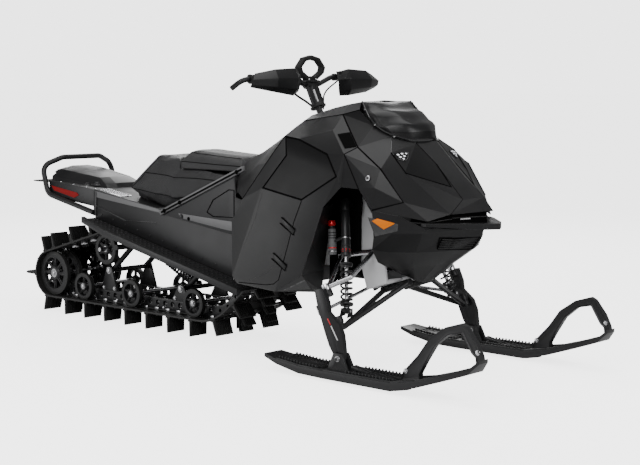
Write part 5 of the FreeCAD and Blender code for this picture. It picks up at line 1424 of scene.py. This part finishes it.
def make_braces():
    """The gusset plates and the lighter struts that run up to the side panels."""
    bm = merged("braces")
    for face in bm.faces:
        if abs(face.calc_center_median().y) > 0.2196:
            face.material_index = 1
    soften(bm, 0.0015, 24)
    for side in (1, -1):
        start, end = P(-352, side * 233.4, 564), P(172, side * 233.4, 785)
        beam(bm, start, end, 0.0016, 0.008, 2, 0.0004)
        for share in (0.04, 0.24, 0.94):
            hexagon_bolt(bm, start.lerp(end, share), (0, side, 0), 0.014, 0.005, index=2)
        edge = [P(x, side * 219.9, z) for x, z in ((-60, 583), (-20, 640), (80, 690), (112, 690), (112, 570),
                                                  (-20, 566))]
        add_mesh(bm, line_curve(edge, 0.0026, False, True), 2)
        for x, z in ((150, 600), (-180, 545)):
            hexagon_bolt(bm, P(x, side * 219.5, z), (0, side, 0), 0.013, 0.005, index=2)
    piece_from("brace_frames", bm, "chassis", [SHEET, LIGHT, LINE, STEEL], ["braces"], 34)


def make_board_grip():
    """Raised toothed rims round the boards' drain holes."""
    for side, name in SIDES:
        bm = bmesh.new()
        x = -820
        while x < 225:
            z = 300 - (x - 80) * 169 / 787 + 3
            lo = 236 if x > -600 else 224
            for y in range(int(lo), 316, 26):
                lathe(bm, P(x, side * y, z), (0, 0, 1),
                      [(0, 0.0062), (0, 0.0085), (0.004, 0.0075), (0.004, 0.0062)], 12)
            x += 30
        piece_from(f"board_grip_{name}", bm, "chassis", [SHEET], (), 40)


def make_tail_trim():
    facet_points = ((-1252, 60, 705), (-1240, 170, 690), (-1235, 50, 736))
    hexagon = ((8, 16), (24, 7), (80, 7), (98, 15), (80, 26), (24, 28))
    for side, name in SIDES:
        facet = Facet(facet_points, side)
        facet.out = -facet.out if facet.out.x > 0 else facet.out
        bm = bmesh.new()
        facet_plate(bm, facet, hexagon, 0.2, 3.4, 3, 0.0008)
        bordered(bm, facet, hexagon, 3.8, 1.6, 0)
        inner = [(52 + (u - 52) * 0.8, 17 + (v - 17) * 0.7) for u, v in hexagon]
        bordered(bm, facet, inner, 3.7, 1.0, 1)
        for share in (-0.5, 0.0, 0.5):
            facet_plate(bm, facet, ((44 + share * 50, 12), (58 + share * 50, 12), (60 + share * 50, 22),
                                    (46 + share * 50, 22)), 3.0, 1.2, 2, 0.0004)
        piece_from(f"tail_lamp_{name}", bm, "chassis", [PALE, ORANGE, RED, GLOSS],
                   ["tail_lamps"] if side > 0 else (), 30)
        bm = bmesh.new()
        for x, y, z in ((-950, 120, 649), (-1010, 132, 645)):
            lathe(bm, P(x, side * y, z - 2), (0, 0, 1),
                  [(0, 0.0001), (0, 0.03), (0.006, 0.031), (0.012, 0.026), (0.014, 0.012), (0.02, 0.0105),
                   (0.022, 0.0001)], 32)
            block(bm, P(x, side * y, z + 16), (0.034, 0.006, 0.008), bevel=0.002)
        for number in range(7):
            x = -830 + number * 24
            z = 640 - (x + 850) * 60 / 450
            block(bm, P(x, side * 168, z + 3), (0.014, 0.058, 0.005), bevel=0.002, index=1)
            block(bm, P(x, side * 152, z + 5), (0.018, 0.01, 0.004), bevel=0.001, index=1)
        lean = Matrix.Rotation(math.radians(7.6), 3, "Y")
        block(bm, P(-756, side * 168, 629), (0.176, 0.07, 0.003), lean, 0.001, index=1)
        for x in (-1150, -1050, -950, -880):
            z = 640 - 0.0 + (-850 - x) * 28 / 370
            drum(bm, P(x, side * 186, z - 6), P(x, side * 186, z + 2), 0.005, 14, 0.001, index=1)
        edge = [P(-1222, side * 205.4, 612), P(-1150, side * 205.4, 600), P(-900, side * 205.4, 566)]
        add_mesh(bm, line_curve(edge, 0.002), 0)
        piece_from(f"tail_fittings_{name}", bm, "chassis", [METAL, BRIGHT], (), 34)


# ---------------------------------------------------------------- bars and controls

def make_bar_fittings():
    bm = merged("hand_guards")
    soften(bm, 0.0012, 14)
    piece_from("hand_guard_shells", bm, "steering", [BODY], ["hand_guards"], 26)
    bm = merged("grab_strap")
    soften(bm, 0.005, 60, 3)
    piece_from("strap_loop", bm, "steering", [STRAP], ["grab_strap"], 40)
    bm = bmesh.new()
    start = Vector((384, 170, 1186))
    end = Vector((366, 395, 1171))
    for side in (1, -1):
        for number in range(26):
            share = 0.215 + number * 0.027
            here = start + (end - start) * share
            run = (end - start).normalized()
            a = P(here.x, side * here.y, here.z)
            b = a + Vector((run.x, side * run.y, run.z)) * 0.0034
            axis = b - a
            lathe(bm, a, axis, [(0, 0.0162), (0, 0.0178), (0.0034, 0.0178), (0.0034, 0.0162)], 20)
        for share in (0.2, 0.91):
            here = start + (end - start) * share
            a = P(here.x, side * here.y, here.z)
            run = Vector(((end - start).normalized().x, side * (end - start).normalized().y,
                          (end - start).normalized().z))
            lathe(bm, a, run, [(0, 0.0162), (0, 0.0205), (0.004, 0.0205), (0.006, 0.0162)], 24)
    piece_from("grip_ribs", bm, "steering", [GRIP], (), 40)
    bm = merged("controls")
    soften(bm, 0.0014, 30)
    for x, y, z, index in ((399, -150, 1190, 1), (392, -176, 1206, 0), (392, 176, 1206, 0),
                           (398, 196, 1200, 1)):
        block(bm, P(x, y, z), (0.012, 0.016, 0.008), bevel=0.002, index=index)
    block(bm, P(408, 150, 1206), (0.026, 0.046, 0.006), bevel=0.002)
    for y in (140, 160):
        drum(bm, P(408, y, 1207), P(408, y, 1211), 0.003, 12, index=2)
    piece_from("control_blocks", bm, "steering", [GLOSS, SCARLET, STEEL], ["controls"], 32)
    bm = merged("steering_column")
    soften(bm, 0.0016, 34)
    top, head = P(411, 0, 1050), P(362, 0, 1150)
    run = (head - top).normalized()
    for y in (-22, 22):
        block(bm, (top + head) / 2 + Vector((0.004, y / 1000, 0)), (0.03, 0.014, 0.09), along(run), 0.003)
        for x in (350, 374):
            drum(bm, P(x, y, 1168), P(x, y, 1177), 0.0045, 14, 0.001, index=1)
    block(bm, P(362, 0, 1166), (0.046, 0.07, 0.01), bevel=0.003)
    block(bm, (top + head) / 2 + Vector((0.018, -0.012, 0.002)), (0.004, 0.008, 0.062), along(run), 0.001,
          index=2)
    lathe(bm, P(409, 0, 1052), run, [(0, 0.0125), (0, 0.034), (0.006, 0.035), (0.012, 0.026), (0.018, 0.028),
                                     (0.024, 0.021), (0.03, 0.022), (0.036, 0.0195)], 32, 3)
    piece_from("riser", bm, "steering", [METAL, STEEL, PALE, GRIP], ["steering_column"], 34)


def make_arm_details():
    """Upper and lower arms softened, and the rail brackets with bolts."""
    bm = merged("upper_arms")
    soften(bm, 0.0016, 30)
    piece_from("upper_arms_machined", bm, "chassis", [BRIGHT], ["upper_arms"], 36)
    bm = merged("lower_arms")
    soften(bm, 0.0012, 40)
    piece_from("lower_arms_welded", bm, "chassis", [METAL], ["lower_arms"], 36)
    bm = merged("rail_brackets")
    soften(bm, 0.002, 30)
    for side in (1, -1):
        for x, z in ((-853, 240), (-335, 200)):
            hexagon_bolt(bm, P(x, side * 131.1, z), (0, side, 0), 0.024, 0.008, index=1)
            for step in (-40, 40):
                hexagon_bolt(bm, P(x + step, side * 131.1, 153), (0, side, 0), 0.014, 0.005, index=1)
    piece_from("bracket_plates", bm, "chassis", [METAL, STEEL], ["rail_brackets"], 34)


make_nose_duct()
make_bay_box()
make_screen()
make_hood_trim()
make_side_trim()
make_seat()
make_tunnel_trim()
make_braces()
make_board_grip()
make_tail_trim()
make_bar_fittings()
make_arm_details()


# ---------------------------------------------------------------- stage

def make_stage():
    bm = bmesh.new()
    bmesh.ops.create_grid(bm, x_segments=1, y_segments=1, size=150)
    mesh = bpy.data.meshes.new("floor")
    bm.to_mesh(mesh)
    bm.free()
    floor = bpy.data.objects.new("floor", mesh)
    bpy.context.scene.collection.objects.link(floor)
    pale = bpy.data.materials.new("pale_floor")
    pale.use_nodes = True
    shader = pale.node_tree.nodes["Principled BSDF"]
    shader.inputs["Base Color"].default_value = (0.86, 0.86, 0.86, 1)
    shader.inputs["Roughness"].default_value = 0.75
    shader.inputs["Emission Color"].default_value = (1, 1, 1, 1)
    path = put(pale.node_tree, "ShaderNodeLightPath", (-400, -300))
    lift = put(pale.node_tree, "ShaderNodeMath", (-200, -300), operation="MULTIPLY")
    lift.inputs[1].default_value = 3.0
    wire(pale.node_tree, path.outputs["Is Camera Ray"], lift.inputs[0])
    wire(pale.node_tree, lift.outputs[0], shader.inputs["Emission Strength"])
    mesh.materials.append(pale)

    world = bpy.data.worlds.new("studio")
    world.use_nodes = True
    tree = world.node_tree
    seen = tree.nodes["Background"]
    seen.inputs["Color"].default_value = (1.0, 1.0, 1.0, 1)
    seen.inputs["Strength"].default_value = 3.3
    felt = put(tree, "ShaderNodeBackground", (0, -200), Color=(1.0, 1.0, 1.0, 1), Strength=0.3)
    path = put(tree, "ShaderNodeLightPath", (-200, 200))
    either = put(tree, "ShaderNodeMixShader", (250, 0))
    wire(tree, path.outputs["Is Camera Ray"], either.inputs[0])
    wire(tree, felt.outputs[0], either.inputs[1])
    wire(tree, seen.outputs[0], either.inputs[2])
    wire(tree, either.outputs[0], tree.nodes["World Output"].inputs["Surface"])
    bpy.context.scene.world = world

    for name, place, size, power, aim in (
            ("key", (2.2, -4.2, 3.6), 2.6, 150, (0.2, 0, 0.5)),
            ("front", (5.0, -0.6, 2.4), 2.4, 85, (0.6, 0, 0.6)),
            ("back", (-3.2, 3.4, 3.2), 2.8, 120, (0, 0, 0.6)),
            ("top", (0.2, 0.0, 4.4), 3.4, 100, (0, 0, 0.4)),
            ("low", (-3.0, -3.6, 1.0), 2.0, 60, (-0.4, 0, 0.5))):
        light = bpy.data.lights.new(name, "AREA")
        light.shape = "SQUARE"
        light.size = size
        light.energy = power
        lamp = bpy.data.objects.new(name, light)
        bpy.context.scene.collection.objects.link(lamp)
        lamp.location = place
        lamp.rotation_mode = "QUATERNION"
        lamp.rotation_quaternion = (Vector(aim) - Vector(place)).to_track_quat("-Z", "Y")

    azimuth, elevation, roll = (math.radians(v) for v in (42.05, 6.0, 0.25))
    back = Vector((math.sin(azimuth) * math.cos(elevation),
                   -math.cos(azimuth) * math.cos(elevation), math.sin(elevation)))
    right = Vector((math.cos(azimuth), math.sin(azimuth), 0))
    up = Vector((-math.sin(azimuth) * math.sin(elevation),
                 math.cos(azimuth) * math.sin(elevation), math.cos(elevation)))
    level = right * math.cos(roll) + up * math.sin(roll)
    upright = -right * math.sin(roll) + up * math.cos(roll)
    camera = bpy.data.objects.new("camera", bpy.data.cameras.new("camera"))
    bpy.context.scene.collection.objects.link(camera)
    camera.data.sensor_width = 36.0
    camera.data.lens = 79.8
    camera.data.dof.use_dof = False
    camera.data.clip_start = 0.1
    camera.data.clip_end = 200.0
    turn = Matrix((level, upright, back)).transposed()
    camera.matrix_world = Matrix.Translation((4.4405, -4.560, 1.156)) @ turn.to_4x4()
    bpy.context.scene.camera = camera


make_stage()
